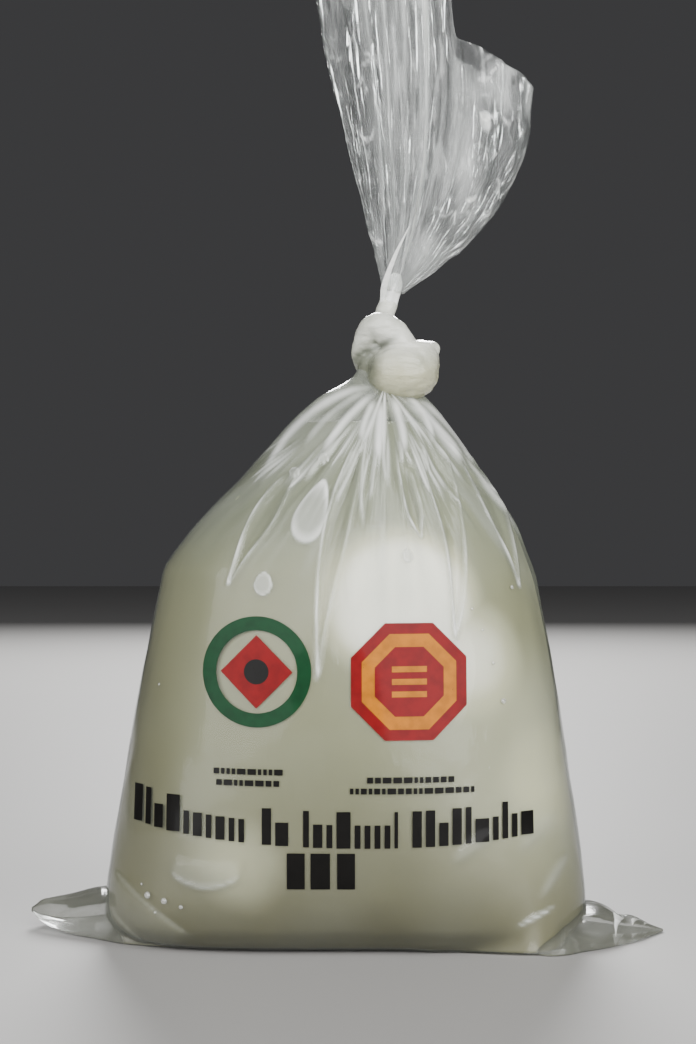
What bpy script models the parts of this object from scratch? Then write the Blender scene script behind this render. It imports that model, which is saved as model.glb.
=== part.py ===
"""Knotted film bag of mozzarella balls in whey, standing on its filled base.

The pouch, its two bottom corners, the knot and the open top above it are one length of film,
so they are fused into one solid. Metres, +Z up, the bag's front towards -Y, the origin on the
ground under the middle of the bag.
"""

import math

import bmesh
import bpy
from mathutils import Vector

# The empty bag is 180 mm wide, and its corners reach nearly that far when it is full.
CORNER_REACH = 0.0878
CORNER_ROOT = 0.0500
CORNER_HALF_DEPTH = 0.0338
CORNER_HEIGHT = 0.0100
CORNER_DROP = 0.0026
CORNER_EDGE_HEIGHT = 0.0032
CORNER_TIP_SIZE = 0.0006
CORNER_SHIFT = -0.0004

# Pouch stations: height, reach to the left, reach to the right, half depth, squareness.
POUCH_STATIONS = (
    (0.0000, 0.0600, 0.0600, 0.0355, 3.6),
    (0.0022, 0.0638, 0.0640, 0.0395, 3.4),
    (0.0070, 0.0663, 0.0668, 0.0440, 3.1),
    (0.0200, 0.0655, 0.0660, 0.0480, 2.7),
    (0.0450, 0.0617, 0.0624, 0.0500, 2.4),
    (0.0750, 0.0565, 0.0574, 0.0490, 2.2),
    (0.0950, 0.0524, 0.0535, 0.0462, 2.1),
    (0.1015, 0.0504, 0.0515, 0.0445, 2.1),
    (0.1134, 0.0413, 0.0469, 0.0400, 2.0),
    (0.1260, 0.0293, 0.0393, 0.0325, 2.0),
    (0.1386, 0.0178, 0.0301, 0.0235, 2.0),
    (0.1470, 0.0091, 0.0235, 0.0160, 2.0),
    (0.1530, -0.0010, 0.0165, 0.0080, 2.0),
    (0.1560, -0.0030, 0.0145, 0.0055, 2.0),
)
POUCH_SIDES = 76
POUCH_RINGS = 26

# Pleats run down from the knot and fade out on the shoulders.
PLEAT_COUNT = 19
PLEAT_START = 0.088
PLEAT_FULL = 0.132
PLEAT_DEPTH = 0.0016
PLEAT_SHARPNESS = 1.6
PLEAT_SHIFT = 0.12
PLEAT_CLOSING = 0.55
CLOSING_START = 0.140
CLOSING_END = 0.153
RING_CROWDING = 1.25
CORNER_SIDES = 20
CORNER_RINGS = 9
CORNER_FULLNESS = 0.8

# The knot: a rounded mass of gathered film, with a lobe at its right and a strand laid over it.
KNOT_MASSES = (
    (Vector((0.0142, 0.0005, 0.1566)), Vector((0.0104, 0.0092, 0.0086))),
    (Vector((0.0196, -0.0004, 0.1566)), Vector((0.0064, 0.0074, 0.0080))),
)
MASS_SEGMENTS = 22
MASS_RINGS = 14
STRAND_ROUTE = (
    (0.0072, 0.0050, 0.1565),
    (0.0058, 0.0010, 0.1605),
    (0.0068, -0.0032, 0.1655),
    (0.0108, -0.0066, 0.1652),
    (0.0152, -0.0078, 0.1612),
    (0.0192, -0.0072, 0.1590),
    (0.0222, -0.0036, 0.1602),
)
STRAND_RADII = (0.0040, 0.0040, 0.0042, 0.0044, 0.0042, 0.0038, 0.0030)
ROLL_ROUTE = (
    (0.0092, 0.0012, 0.1640),
    (0.0109, 0.0008, 0.1703),
    (0.0124, 0.0005, 0.1750),
    (0.0138, 0.0005, 0.1795),
    (0.0148, 0.0005, 0.1835),
)
ROLL_RADII = (0.0030, 0.0028, 0.0027, 0.0028, 0.0026)
STRAND_SIDES = 12
STRAND_RINGS = 4
STRAND_STEP = 0.05

# The open top: the film fans out again above the knot, with a flat left edge and a puffed right lobe.
NECK_DEPTH = 0.0005
NECK_RADIUS = 0.0030
LEFT_EDGE = ((0.0110, 0.1800), (0.0080, 0.1900), (0.0015, 0.2170), (-0.0052, 0.2450), (-0.0091, 0.2670))
RIGHT_EDGE = ((0.0168, 0.1800), (0.0270, 0.1855), (0.0400, 0.1970), (0.0500, 0.2160), (0.0524, 0.2345))
# Shares across the open top, from its left edge, and of its height.
BAND_END = 0.58
LOBE_START = 0.68
BAND_FULL = 0.35
LOBE_SWELL_START = 0.50
LOBE_SWELL_END = 0.80
OPENING_END = 0.55
BAND_RISE = 0.0165
EDGE_DEPTH = 0.0036
BAND_DEPTH = 0.0070
LOBE_DEPTH = 0.0150
FOLD_COUNT = 6
FOLD_DEPTH = 0.0022
FILM_WALL = 0.0011
EDGE_WALLS = 1.8
MOUTH_BOTTOM = 0.30
TOP_SIDES = 84
TOP_RINGS = 10

# A folded edge of film stands up from the neck as a thin point.
POINT_FOOT = Vector((0.0112, -0.0016, 0.1760))
POINT_TIP = Vector((0.0176, -0.0052, 0.1945))
POINT_RADIUS = 0.0015
POINT_TIP_RADIUS = 0.0004
POINT_SIDES = 8
POINT_RINGS = 2

FILM_COLOUR = (0.72, 0.73, 0.64)
FILM_ROUGHNESS = 0.22
SHARP_ANGLE = math.radians(50)


def between(stations, key):
    """Values at `key` on a smooth curve through stations whose first value rises."""
    key = min(max(key, stations[0][0]), stations[-1][0])
    index = max(i for i, station in enumerate(stations[:-1]) if station[0] <= key)
    low, high = stations[index], stations[index + 1]
    before = stations[max(index - 1, 0)]
    after = stations[min(index + 2, len(stations) - 1)]
    span = high[0] - low[0]
    share = (key - low[0]) / span
    values = []
    for k in range(1, len(low)):
        leave = (high[k] - before[k]) / (high[0] - before[0]) * span
        arrive = (after[k] - low[k]) / (after[0] - low[0]) * span
        cube, square = share**3, share**2
        values.append(
            (2 * cube - 3 * square + 1) * low[k]
            + (cube - 2 * square + share) * leave
            + (3 * square - 2 * cube) * high[k]
            + (cube - square) * arrive
        )
    return values


def ramp(value, start, end):
    """0 before start, 1 after end, and a smooth rise between them."""
    share = min(max((value - start) / (end - start), 0.0), 1.0)
    return share * share * (3 - 2 * share)


def rounded(value, squareness):
    """A sine or cosine turned into that of a rounded square."""
    return math.copysign(abs(value) ** (2 / squareness), value)


def material(name, colour, roughness):
    made = bpy.data.materials.new(name)
    made.use_nodes = True
    shader = made.node_tree.nodes["Principled BSDF"]
    shader.inputs["Base Color"].default_value = (*colour, 1)
    shader.inputs["Roughness"].default_value = roughness
    shader.inputs["Metallic"].default_value = 0.0
    return made


def shaped_tube(name, sides, rings, place):
    """A cylinder whose points go where place(angle, share of its length) says."""
    mesh = bpy.data.meshes.new(name)
    shape = bmesh.new()
    bmesh.ops.create_cone(shape, cap_ends=True, segments=sides, radius1=1, radius2=1, depth=1)
    upright = [e for e in shape.edges if abs(e.verts[0].co.z - e.verts[1].co.z) > 0.5]
    bmesh.ops.subdivide_edges(shape, edges=upright, cuts=rings - 1)
    for vert in shape.verts:
        vert.co = place(math.atan2(vert.co.y, vert.co.x), vert.co.z + 0.5)
    bmesh.ops.recalc_face_normals(shape, faces=shape.faces)
    bmesh.ops.triangulate(shape, faces=shape.faces)
    shape.to_mesh(mesh)
    shape.free()
    return bpy.data.objects.new(name, mesh)


def pouch_pleat(angle, height):
    """How far a pleat pushes the film out at this place."""
    grown = ramp(height, PLEAT_START, PLEAT_FULL)
    closing = 1 - PLEAT_CLOSING * ramp(height, CLOSING_START, CLOSING_END)
    turn = PLEAT_COUNT * (angle + PLEAT_SHIFT * math.sin(3 * angle + 1))
    return PLEAT_DEPTH * grown * closing * (0.5 + 0.5 * math.cos(turn)) ** PLEAT_SHARPNESS


def pouch_point(angle, share):
    """A point of the filled pouch."""
    height = POUCH_STATIONS[-1][0] * share
    left, right, depth, squareness = between(POUCH_STATIONS, height)
    half, centre = (left + right) / 2, (right - left) / 2
    out = pouch_pleat(angle, height)
    return Vector(
        (
            centre + (half + out) * rounded(math.cos(angle), squareness),
            (depth + out) * rounded(math.sin(angle), squareness),
            height,
        )
    )


def pouch_share(share):
    """Rings lie closer together near the ground, where the film turns under."""
    return share**RING_CROWDING


def corner_point(side):
    """The point function of one bottom corner: a flattened pocket that tapers to its tip."""

    def place(angle, share):
        taper = 1 - share
        half_depth = CORNER_HALF_DEPTH * taper + CORNER_TIP_SIZE
        reach_up = CORNER_HEIGHT if math.sin(angle) > 0 else CORNER_DROP
        height = CORNER_EDGE_HEIGHT + (reach_up * taper**CORNER_FULLNESS + CORNER_TIP_SIZE) * math.sin(angle)
        return Vector(
            (
                side * (CORNER_ROOT + (CORNER_REACH - CORNER_ROOT) * share),
                half_depth * math.cos(angle) + CORNER_SHIFT,
                height,
            )
        )

    return place


def strand(name, route, radii):
    """A rope of film along a smooth curve through the route's points."""
    stations = [(i, *point) for i, point in enumerate(route)]
    sizes = [(i, radius) for i, radius in enumerate(radii)]
    last = len(route) - 1

    def place(angle, share):
        at = share * last
        centre = Vector(between(stations, at))
        ahead = Vector(between(stations, min(at + STRAND_STEP, last)))
        behind = Vector(between(stations, max(at - STRAND_STEP, 0)))
        along = (ahead - behind).normalized()
        across = along.cross(Vector((0, 1, 0))).normalized()
        outward = across * math.cos(angle) + along.cross(across) * math.sin(angle)
        return centre + outward * between(sizes, at)[0]

    return shaped_tube(name, STRAND_SIDES, STRAND_RINGS * last, place)


def top_edges(share):
    """Left and right edge of the open top, each x and z, at this share of its height."""
    count = len(LEFT_EDGE) - 1
    left = between([(i / count, *point) for i, point in enumerate(LEFT_EDGE)], share)
    right = between([(i / count, *point) for i, point in enumerate(RIGHT_EDGE)], share)
    return left, right


def top_point(angle, share, wall=0.0):
    """A point of the open top, a flattened and folded tube, at `wall` inside its outer face."""
    (left_x, left_z), (right_x, right_z) = top_edges(share)
    half = (right_x - left_x) / 2
    across = 0.5 + 0.5 * math.cos(angle) * (1 - EDGE_WALLS * wall / half)
    x = left_x + (right_x - left_x) * across
    z = left_z + (right_z - left_z) * across
    band = 1 - ramp(across, BAND_END, LOBE_START)
    z += BAND_RISE * share * band * math.sin(math.pi * across)
    depth = EDGE_DEPTH + (BAND_DEPTH - EDGE_DEPTH) * ramp(across, 0, BAND_FULL)
    depth += (LOBE_DEPTH - BAND_DEPTH) * ramp(across, LOBE_SWELL_START, LOBE_SWELL_END)
    opened = ramp(share, 0, OPENING_END)
    bulge = math.sin(angle)
    folds = FOLD_DEPTH * math.sin(2 * math.pi * FOLD_COUNT * across)
    y = bulge * (NECK_RADIUS + (depth - NECK_RADIUS) * opened - wall)
    return Vector((x, NECK_DEPTH + y + folds * opened * abs(bulge), z))


def top_wall_point(angle, share):
    """Up the outer face in the first half of the length, then down the inner face."""
    if share <= 0.5:
        return top_point(angle, 2 * share)
    return top_point(angle, 1 - (2 * share - 1) * (1 - MOUTH_BOTTOM), FILM_WALL)


def cone_between(name, foot, tip, foot_radius, tip_radius):
    """A thin cone from foot to tip."""
    turn = (tip - foot).to_track_quat("Z", "Y")

    def place(angle, share):
        radius = foot_radius + (tip_radius - foot_radius) * share
        flat = Vector((math.cos(angle) * radius, math.sin(angle) * radius, share * (tip - foot).length))
        return foot + turn @ flat

    return shaped_tube(name, POINT_SIDES, POINT_RINGS, place)


def make_pouch():
    return shaped_tube(
        "mozzarella_bag",
        POUCH_SIDES,
        POUCH_RINGS,
        lambda angle, share: pouch_point(angle, pouch_share(share)),
    )


def make_corners():
    return [
        shaped_tube(name, CORNER_SIDES, CORNER_RINGS, corner_point(side))
        for name, side in (("left_corner", -1), ("right_corner", 1))
    ]


def make_mass(name, centre, radii):
    """An egg-shaped mass of gathered film."""
    mesh = bpy.data.meshes.new(name)
    shape = bmesh.new()
    bmesh.ops.create_uvsphere(shape, u_segments=MASS_SEGMENTS, v_segments=MASS_RINGS, radius=1)
    bmesh.ops.scale(shape, vec=radii, verts=shape.verts)
    bmesh.ops.translate(shape, vec=centre, verts=shape.verts)
    bmesh.ops.triangulate(shape, faces=shape.faces)
    shape.to_mesh(mesh)
    shape.free()
    return bpy.data.objects.new(name, mesh)


def make_knot():
    masses = [
        make_mass(name, centre, radii)
        for name, (centre, radii) in zip(("knot_mass", "knot_lobe"), KNOT_MASSES)
    ]
    return [
        *masses,
        strand("knot_strand", STRAND_ROUTE, STRAND_RADII),
        strand("rolled_neck", ROLL_ROUTE, ROLL_RADII),
        cone_between("film_point", POINT_FOOT, POINT_TIP, POINT_RADIUS, POINT_TIP_RADIUS),
    ]


def make_open_top():
    """The open top as a wall of film round its mouth."""
    return shaped_tube("open_top", TOP_SIDES, 2 * TOP_RINGS, top_wall_point)


def keep_outer_shell(made):
    """Fills sealed hollows and drops loose scraps: only the widest connected shell stays."""
    shape = bmesh.new()
    shape.from_mesh(made.data)
    left = set(shape.verts)
    shells = []
    while left:
        front = [left.pop()]
        shell = list(front)
        while front:
            near = {edge.other_vert(vert) for vert in front for edge in vert.link_edges} & left
            left -= near
            shell.extend(near)
            front = list(near)
        shells.append(shell)
    shells.sort(key=lambda shell: max(v.co.z for v in shell) - min(v.co.z for v in shell))
    for shell in shells[:-1]:
        bmesh.ops.delete(shape, geom=shell, context="VERTS")
    shape.to_mesh(made.data)
    shape.free()


def as_plain_mesh(made):
    """Replaces an object's mesh by what its modifiers make of it."""
    graph = bpy.context.evaluated_depsgraph_get()
    mesh = bpy.data.meshes.new_from_object(made.evaluated_get(graph))
    made.modifiers.clear()
    made.data = mesh


def fuse(body, pieces, collection):
    """Joins the pieces to the body with one Boolean union, and removes them."""
    union = body.modifiers.new("one film", "BOOLEAN")
    union.operation = "UNION"
    union.operand_type = "COLLECTION"
    union.collection = collection
    union.solver = "EXACT"
    as_plain_mesh(body)
    for piece in pieces:
        bpy.data.objects.remove(piece)
    bpy.data.collections.remove(collection)


def main():
    for old in list(bpy.data.objects):
        bpy.data.objects.remove(old)
    parts = bpy.data.collections.new("mozzarella_bag")
    joined = bpy.data.collections.new("joined_film")
    for collection in (parts, joined):
        bpy.context.scene.collection.children.link(collection)
    bag = make_pouch()
    parts.objects.link(bag)
    pieces = [*make_corners(), *make_knot(), make_open_top()]
    for piece in pieces:
        joined.objects.link(piece)
    fuse(bag, pieces, joined)
    keep_outer_shell(bag)
    bag.data.materials.clear()
    bag.data.materials.append(material("milky_film", FILM_COLOUR, FILM_ROUGHNESS))
    bag.data.shade_smooth()
    bag.data.set_sharp_from_angle(angle=SHARP_ANGLE)


main()
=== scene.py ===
"""Looks of a knotted bag of mozzarella: film, whey, cheese balls, knot, open top and print."""

import itertools
import math

import bmesh
import bpy
import numpy as np
from bpy.props import FloatProperty, FloatVectorProperty, PointerProperty
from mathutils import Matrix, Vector, noise
from mathutils.bvhtree import BVHTree


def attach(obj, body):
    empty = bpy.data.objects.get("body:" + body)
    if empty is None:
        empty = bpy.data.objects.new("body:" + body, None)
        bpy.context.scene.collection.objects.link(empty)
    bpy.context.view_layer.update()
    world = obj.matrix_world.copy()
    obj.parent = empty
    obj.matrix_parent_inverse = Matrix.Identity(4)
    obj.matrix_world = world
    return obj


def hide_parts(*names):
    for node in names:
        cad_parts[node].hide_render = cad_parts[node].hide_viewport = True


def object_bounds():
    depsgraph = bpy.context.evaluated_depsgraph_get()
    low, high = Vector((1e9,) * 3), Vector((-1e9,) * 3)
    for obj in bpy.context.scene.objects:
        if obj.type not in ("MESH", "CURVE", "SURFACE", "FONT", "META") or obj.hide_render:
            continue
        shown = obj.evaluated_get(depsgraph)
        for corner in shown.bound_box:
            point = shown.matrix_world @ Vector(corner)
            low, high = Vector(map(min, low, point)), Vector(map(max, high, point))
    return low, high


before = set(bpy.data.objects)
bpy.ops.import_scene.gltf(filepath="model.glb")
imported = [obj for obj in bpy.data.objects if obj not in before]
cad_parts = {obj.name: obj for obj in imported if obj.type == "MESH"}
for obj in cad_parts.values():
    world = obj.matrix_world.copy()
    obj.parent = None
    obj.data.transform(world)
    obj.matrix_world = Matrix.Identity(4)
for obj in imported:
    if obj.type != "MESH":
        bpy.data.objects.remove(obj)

bl_info = {
    "name": "Knotted mozzarella bag",
    "version": (1, 0, 0),
    "blender": (4, 5, 0),
    "location": "3D View > Sidebar > Cheese Bag",
    "description": "Builds a tied film bag of mozzarella balls in whey",
    "category": "Add Mesh",
}

CAD_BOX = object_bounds()
BAG_NODE = "mozzarella_bag"
BODY = "root"
MM = 0.001

# Pouch stations: height, reach to the left, reach to the right, half depth, squareness.
POUCH_STATIONS = (
    (0.0000, 0.0600, 0.0600, 0.0355, 3.6),
    (0.0022, 0.0638, 0.0640, 0.0395, 3.4),
    (0.0070, 0.0663, 0.0668, 0.0440, 3.1),
    (0.0200, 0.0655, 0.0660, 0.0480, 2.7),
    (0.0450, 0.0617, 0.0624, 0.0500, 2.4),
    (0.0750, 0.0565, 0.0574, 0.0490, 2.2),
    (0.0950, 0.0524, 0.0535, 0.0462, 2.1),
    (0.1015, 0.0504, 0.0515, 0.0445, 2.1),
    (0.1134, 0.0413, 0.0469, 0.0400, 2.0),
    (0.1260, 0.0293, 0.0393, 0.0325, 2.0),
    (0.1386, 0.0178, 0.0301, 0.0235, 2.0),
    (0.1470, 0.0091, 0.0235, 0.0132, 2.0),
    (0.1530, -0.0010, 0.0165, 0.0072, 2.0),
    (0.1560, -0.0030, 0.0145, 0.0055, 2.0),
)
FILM_SIDES = 470
FILM_RINGS = 208
FRONT_CROWDING = 0.35
SMOOTH_SHARE = 0.34
PLEATED_FROM = 0.070
POUCH_TOP = POUCH_STATIONS[-1][0]
WHEY_LEVEL = 0.1400
WHEY_SIDES = 200
WHEY_RINGS = 110

# Folds fan out from the foot of the knot: angle from straight down and reach in mm of the start,
# the same of the tip, and half the width. Loops enclose a trough, ridges don't.
FOLD_FOOT = (0.0110, 0.1504)
FRONT_LOOPS = (
    (-44.7, 36.6, -37.7, 67.7, 2.6),
    (-21.5, 20.7, -13.2, 78.5, 2.6),
    (11.3, 24.6, 12.3, 42.2, 2.3),
    (31.7, 21.9, 14.8, 69.0, 3.9),
    (47.2, 29.0, 33.2, 65.0, 2.5),
)
BACK_LOOPS = (
    (-49.0, 30.0, -41.0, 66.0, 2.9),
    (-30.0, 24.0, -19.0, 55.0, 2.4),
    (-8.0, 22.0, -5.0, 74.0, 3.0),
    (20.0, 25.0, 13.0, 50.0, 2.3),
    (43.0, 26.0, 30.0, 68.0, 3.1),
)
FRONT_RIDGES = (
    (-54.0, 16.0, -51.0, 45.0, 0.8),
    (-47.0, 14.0, -43.0, 40.0, 0.9),
    (-38.0, 14.0, -40.0, 35.0, 0.9),
    (-19.0, 14.0, -9.0, 40.0, 0.8),
    (2.0, 8.0, 0.0, 30.0, 0.9),
    (24.0, 8.0, 21.0, 34.0, 0.9),
    (40.0, 9.0, 38.0, 36.0, 0.9),
    (52.0, 12.0, 41.0, 58.0, 0.8),
)
# Broad pleats below the knot: start and tip as above, width in mm, whiteness.
PLEATS = (
    (-81.0, 8.9, -51.0, 44.0, 1.5, 0.80),
    (-68.6, 7.4, -50.8, 29.4, 1.4, 0.50),
    (-50.6, 7.2, -40.0, 27.5, 1.3, 0.85),
    (-32.0, 6.9, -21.7, 18.6, 1.2, 0.80),
    (-9.0, 7.2, -6.0, 22.5, 1.4, 0.95),
    (24.5, 6.4, 12.6, 21.0, 1.3, 0.85),
    (57.0, 8.5, 36.6, 21.5, 1.3, 0.80),
    (52.0, 11.0, 43.5, 31.0, 1.6, 0.88),
    (63.0, 13.0, 47.3, 33.0, 1.4, 0.75),
)
RANDOM_RIDGES = 22
# How far the back's ridges are turned from the front's, in degrees.
BACK_TURN = 5
# How far folds stand out and troughs sink in, in mm.
PLEAT_HEIGHT = 0.34
RIDGE_HEIGHT = 0.42
LOOP_RIDGE = 0.62
LOOP_TROUGH = 0.90
STREAK_RISE = 0.62
HAIR_RISE = 0.34
# Where the gathered, white film ends: angle, reach in mm.
GATHER_EDGE = (
    (-90, 36.0),
    (-60, 42.0),
    (-48, 43.0),
    (-40, 34.0),
    (-35, 26.0),
    (-24, 18.0),
    (-10, 21.0),
    (0, 24.5),
    (10, 26.0),
    (18, 27.0),
    (25, 31.0),
    (33, 38.0),
    (45, 42.0),
    (60, 38.0),
    (90, 34.0),
)
# How far in front of and behind the middle plane folds and pleats reach their full height.
SIDE_FADE = 0.010
PLEAT_FADE = 0.0025

# Bubbles under the film: place, half width, half length in mm, lean in degrees, narrowing.
FRONT_BUBBLES = (
    (-8.3, 115.6, 3.9, 8.6, 21.0, 0.45),
    (-21.2, 96.8, 2.3, 3.0, 8.0, 0.15),
    (-13.4, 126.0, 1.6, 1.3, 30.0, 0.0),
    (-5.6, 129.5, 1.4, 1.1, 0.0, 0.0),
    (16.3, 104.2, 1.2, 1.7, -10.0, 0.2),
)
# Edges of the left corner's film where it runs into the pouch: from x, z to x, z in mm.
LEFT_FLAP = (
    (-60.5, 18.4, -41.0, 5.6),
    (-63.0, 9.4, -52.5, 1.2),
)
# Soft streaks low on the right, their whiteness a painted highlight on low ridges: from x, z to x, z
# in mm, width, whiteness.
STREAKS_WITH_HIGHLIGHTS = (
    (43.5, 7.4, 56.0, 12.6, 0.62, 0.60),
    (26.0, 25.0, 40.0, 33.5, 1.8, 0.16),
    (44.0, 27.0, 57.0, 37.0, 2.2, 0.14),
    (50.0, 14.0, 60.0, 26.0, 1.4, 0.20),
)
# Pressed patch low on the left: middle, half width, height of its lip, top, all in mm.
PATCH = (-36.0, 8.5, 18.6, 27.0)
# How far these stand out, in mm.
PATCH_HEIGHT = 0.50
LIP_HEIGHT = 0.25
BUBBLE_HEIGHT = 0.45
STREAK_HEIGHT = 0.35
FLAP_HEIGHT = 0.40
# Beads of air and water against the film: x, z and radius in mm.
BEADS = (
    (-51.8, 15.0, 1.0),
    (-47.2, 14.0, 0.9),
    (-42.6, 12.8, 0.6),
    (-53.5, 17.6, 0.4),
    (-49.6, 10.8, 0.35),
    (44.6, 95.4, 0.6),
    (38.8, 76.0, 0.5),
    (41.5, 66.0, 0.8),
    (36.0, 84.5, 0.35),
    (-49.5, 69.6, 0.4),
    (33.2, 90.2, 0.4),
)
# Two of a bead's sides along the film, and how far it stands out, against its radius.
BEAD_FLATNESS = (1.0, 0.9, 0.55)

# Cheese balls: centre, and size against the usual radius.
BALLS = (
    (Vector((0.0170, -0.0138, 0.0785)), 1.00),
    (Vector((-0.0318, -0.0105, 0.0318)), 1.00),
    (Vector((0.0365, -0.0045, 0.0300)), 0.95),
    (Vector((-0.0200, 0.0190, 0.0690)), 0.86),
)
BALL_DETAIL = 5
# Crease at the left of the front ball, in shares of its radius: height, slope, width, depth.
BALL_CREASE = (0.30, 0.10, 0.028, 0.035)
# How see-through the whey is where a ball touches its surface.
CLEAREST_WHEY = 0.25
# White of the balls through the whey, moved to their lit tops and sides as painted light: centre,
# radius, strength.
BALL_WHITE_AND_PAINTED_LIGHT = (
    ((0.0115, -0.0285, 0.0885), 0.0190, 1.00),
    ((0.0235, -0.0245, 0.0740), 0.0175, 0.86),
    ((-0.0235, -0.0255, 0.0262), 0.0165, 0.76),
    ((0.0400, -0.0180, 0.0430), 0.0165, 0.62),
    ((-0.0210, 0.0245, 0.0690), 0.0165, 0.36),
)

# Knot: masses of gathered film, middle and radii, with strands laid over them.
KNOT_MASSES = (
    (Vector((0.0158, -0.0060, 0.1541)), Vector((0.0098, 0.0098, 0.0081))),
    (Vector((0.0206, -0.0044, 0.1556)), Vector((0.0056, 0.0084, 0.0079))),
    (Vector((0.0096, 0.0000, 0.1556)), Vector((0.0062, 0.0072, 0.0060))),
    (Vector((0.0100, -0.0028, 0.1612)), Vector((0.0046, 0.0036, 0.0046))),
)
# Strands: a point and the radius there, one after another.
UPPER_STRAND = (
    ((0.0060, 0.0040, 0.1545), 0.0022),
    ((0.0044, 0.0010, 0.1585), 0.0024),
    ((0.0054, -0.0030, 0.1634), 0.0031),
    ((0.0088, -0.0056, 0.1670), 0.0040),
    ((0.0128, -0.0066, 0.1650), 0.0044),
    ((0.0162, -0.0070, 0.1608), 0.0042),
    ((0.0186, -0.0058, 0.1570), 0.0034),
)
FRONT_STRAND = (
    ((0.0132, -0.0062, 0.1625), 0.0034),
    ((0.0162, -0.0078, 0.1604), 0.0036),
    ((0.0192, -0.0076, 0.1597), 0.0034),
    ((0.0220, -0.0058, 0.1603), 0.0028),
    ((0.0240, -0.0030, 0.1610), 0.0019),
)
# The knot's free corner, drawn out to a point: where, which way from the knot, how wide, how far.
KNOT_CORNER = (0.0250, -0.0030, 0.1614)
CORNER_PULL = (0.0060, -0.0010, 0.0010)
CORNER_PULL_WIDTH = 0.0021
CORNER_PULL_LENGTH = 0.0014
KNOT_VOXEL = 0.00042
CREASE_PASSES = 14
NECK_ROUTE = (
    (0.0092, 0.0012, 0.1640),
    (0.0109, 0.0002, 0.1703),
    (0.0124, -0.0001, 0.1750),
    (0.0137, -0.0002, 0.1795),
    (0.0146, -0.0002, 0.1822),
)
NECK_RADII = (0.0029, 0.0027, 0.0025, 0.0024, 0.0011)
# Grooves wound round the neck: depth, radians to a metre, lean, height that they start from.
NECK_GROOVES = (0.00022, 2200, 0.36, 0.17)

# The thin point of film that stands up beside the neck.
BLADE_WIDTH = 0.0011
BLADE_DEPTH = 0.0006
BLADE_ROUTE = (
    (0.0102, -0.0012, 0.1735),
    (0.0112, -0.0034, 0.1795),
    (0.0141, -0.0056, 0.1872),
    (0.0178, -0.0070, 0.1946),
)

# Open top: left and right edge, x and z, from the neck to the rim.
LEFT_EDGE = (
    (0.0106, 0.1775),
    (0.0080, 0.1900),
    (0.0015, 0.2170),
    (-0.0052, 0.2450),
    (-0.0091, 0.2670),
)
RIGHT_EDGE = (
    (0.0164, 0.1768),
    (0.0260, 0.1843),
    (0.0400, 0.1970),
    (0.0500, 0.2160),
    (0.0524, 0.2345),
)
BAND_END = 0.60
LOBE_START = 0.65
# Where the open top is clear: middle x and z, half width and half height in mm, how clear.
CLEAR_PATCHES = (
    (11.4, 190.0, 0.8, 7.5, 0.95),
    (25.5, 196.0, 3.6, 5.5, 0.60),
    (31.0, 189.5, 3.0, 1.6, 0.60),
    (44.0, 206.0, 1.3, 5.5, 0.75),
    (47.0, 218.5, 4.0, 1.2, 0.70),
    (48.0, 231.0, 2.8, 7.0, 0.80),
    (2.5, 226.0, 2.2, 14.0, 0.55),
    (-2.0, 249.0, 4.0, 5.0, 0.60),
)
# Folds of the band: place across it at the neck and at the rim, width, rise in mm, whiteness.
BAND_FOLDS = (
    (0.20, 0.215, 0.016, 1.1, 0.35),
    (0.27, 0.255, 0.011, -0.9, 0.0),
    (0.31, 0.295, 0.013, 1.2, 0.62),
    (0.36, 0.325, 0.009, -0.8, 0.0),
    (0.40, 0.350, 0.009, 0.9, 0.30),
    (0.45, 0.390, 0.012, 1.3, 0.55),
    (0.49, 0.425, 0.008, -1.0, 0.0),
    (0.53, 0.455, 0.008, 0.8, 0.25),
    (0.58, 0.500, 0.015, 1.7, 1.00),
    (0.64, 0.545, 0.009, -1.0, 0.0),
    (0.68, 0.575, 0.008, 0.7, 0.20),
    (0.73, 0.605, 0.010, -0.7, 0.0),
)
BACK_FOLD_SHIFT = 0.021
BAND_RISE = 0.0165
EDGE_DEPTH = 0.0034
BAND_DEPTH = 0.0066
LOBE_DEPTH = 0.0145
NECK_DEPTH = 0.0005
NECK_RADIUS = 0.0028
TOP_SIDES = 380
TOP_RINGS = 120
TOP_WALL = 0.00012

# Corners of the bag: reach, front edge, back edge, foot and top in mm, and how sharp the ridge
# is, from the pouch to the tip.
CORNERS = {
    -1: (
        (44.0, -31.0, 24.0, 0.2, 4.0, 0.8),
        (52.0, -28.8, 25.0, 0.2, 8.0, 0.9),
        (59.3, -25.8, 22.0, 0.2, 10.0, 1.1),
        (67.5, -19.5, 15.5, 0.2, 10.9, 1.1),
        (77.0, -12.5, 8.5, 0.6, 8.9, 1.1),
        (84.0, -6.0, 3.0, 2.4, 7.6, 1.1),
        (87.5, -1.2, 0.6, 4.2, 5.2, 1.1),
    ),
    1: (
        (46.0, -36.0, 20.0, 0.1, 2.5, 0.80),
        (52.0, -41.0, 22.0, 0.1, 5.0, 0.80),
        (57.2, -40.3, 19.0, 0.1, 6.6, 0.85),
        (63.0, -35.8, 13.0, 0.1, 7.6, 0.85),
        (67.0, -33.0, 8.0, 0.1, 8.0, 0.90),
        (70.0, -30.6, 4.5, 0.1, 7.7, 1.00),
        (72.5, -28.2, 2.5, 0.1, 6.6, 1.05),
        (75.6, -25.2, 0.3, 0.1, 4.5, 1.1),
        (79.0, -21.5, -1.5, 0.1, 4.2, 1.1),
        (83.0, -16.0, -4.5, 0.2, 2.6, 1.1),
        (87.4, -10.2, -8.6, 0.4, 0.9, 1.1),
    ),
}
# Whey in the root of the left corner, in mm: how far out it reaches, how much less at the front
# edge, and how far inside the film it lies.
CORNER_WHEY = (64.0, 5.0, 0.35)
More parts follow.
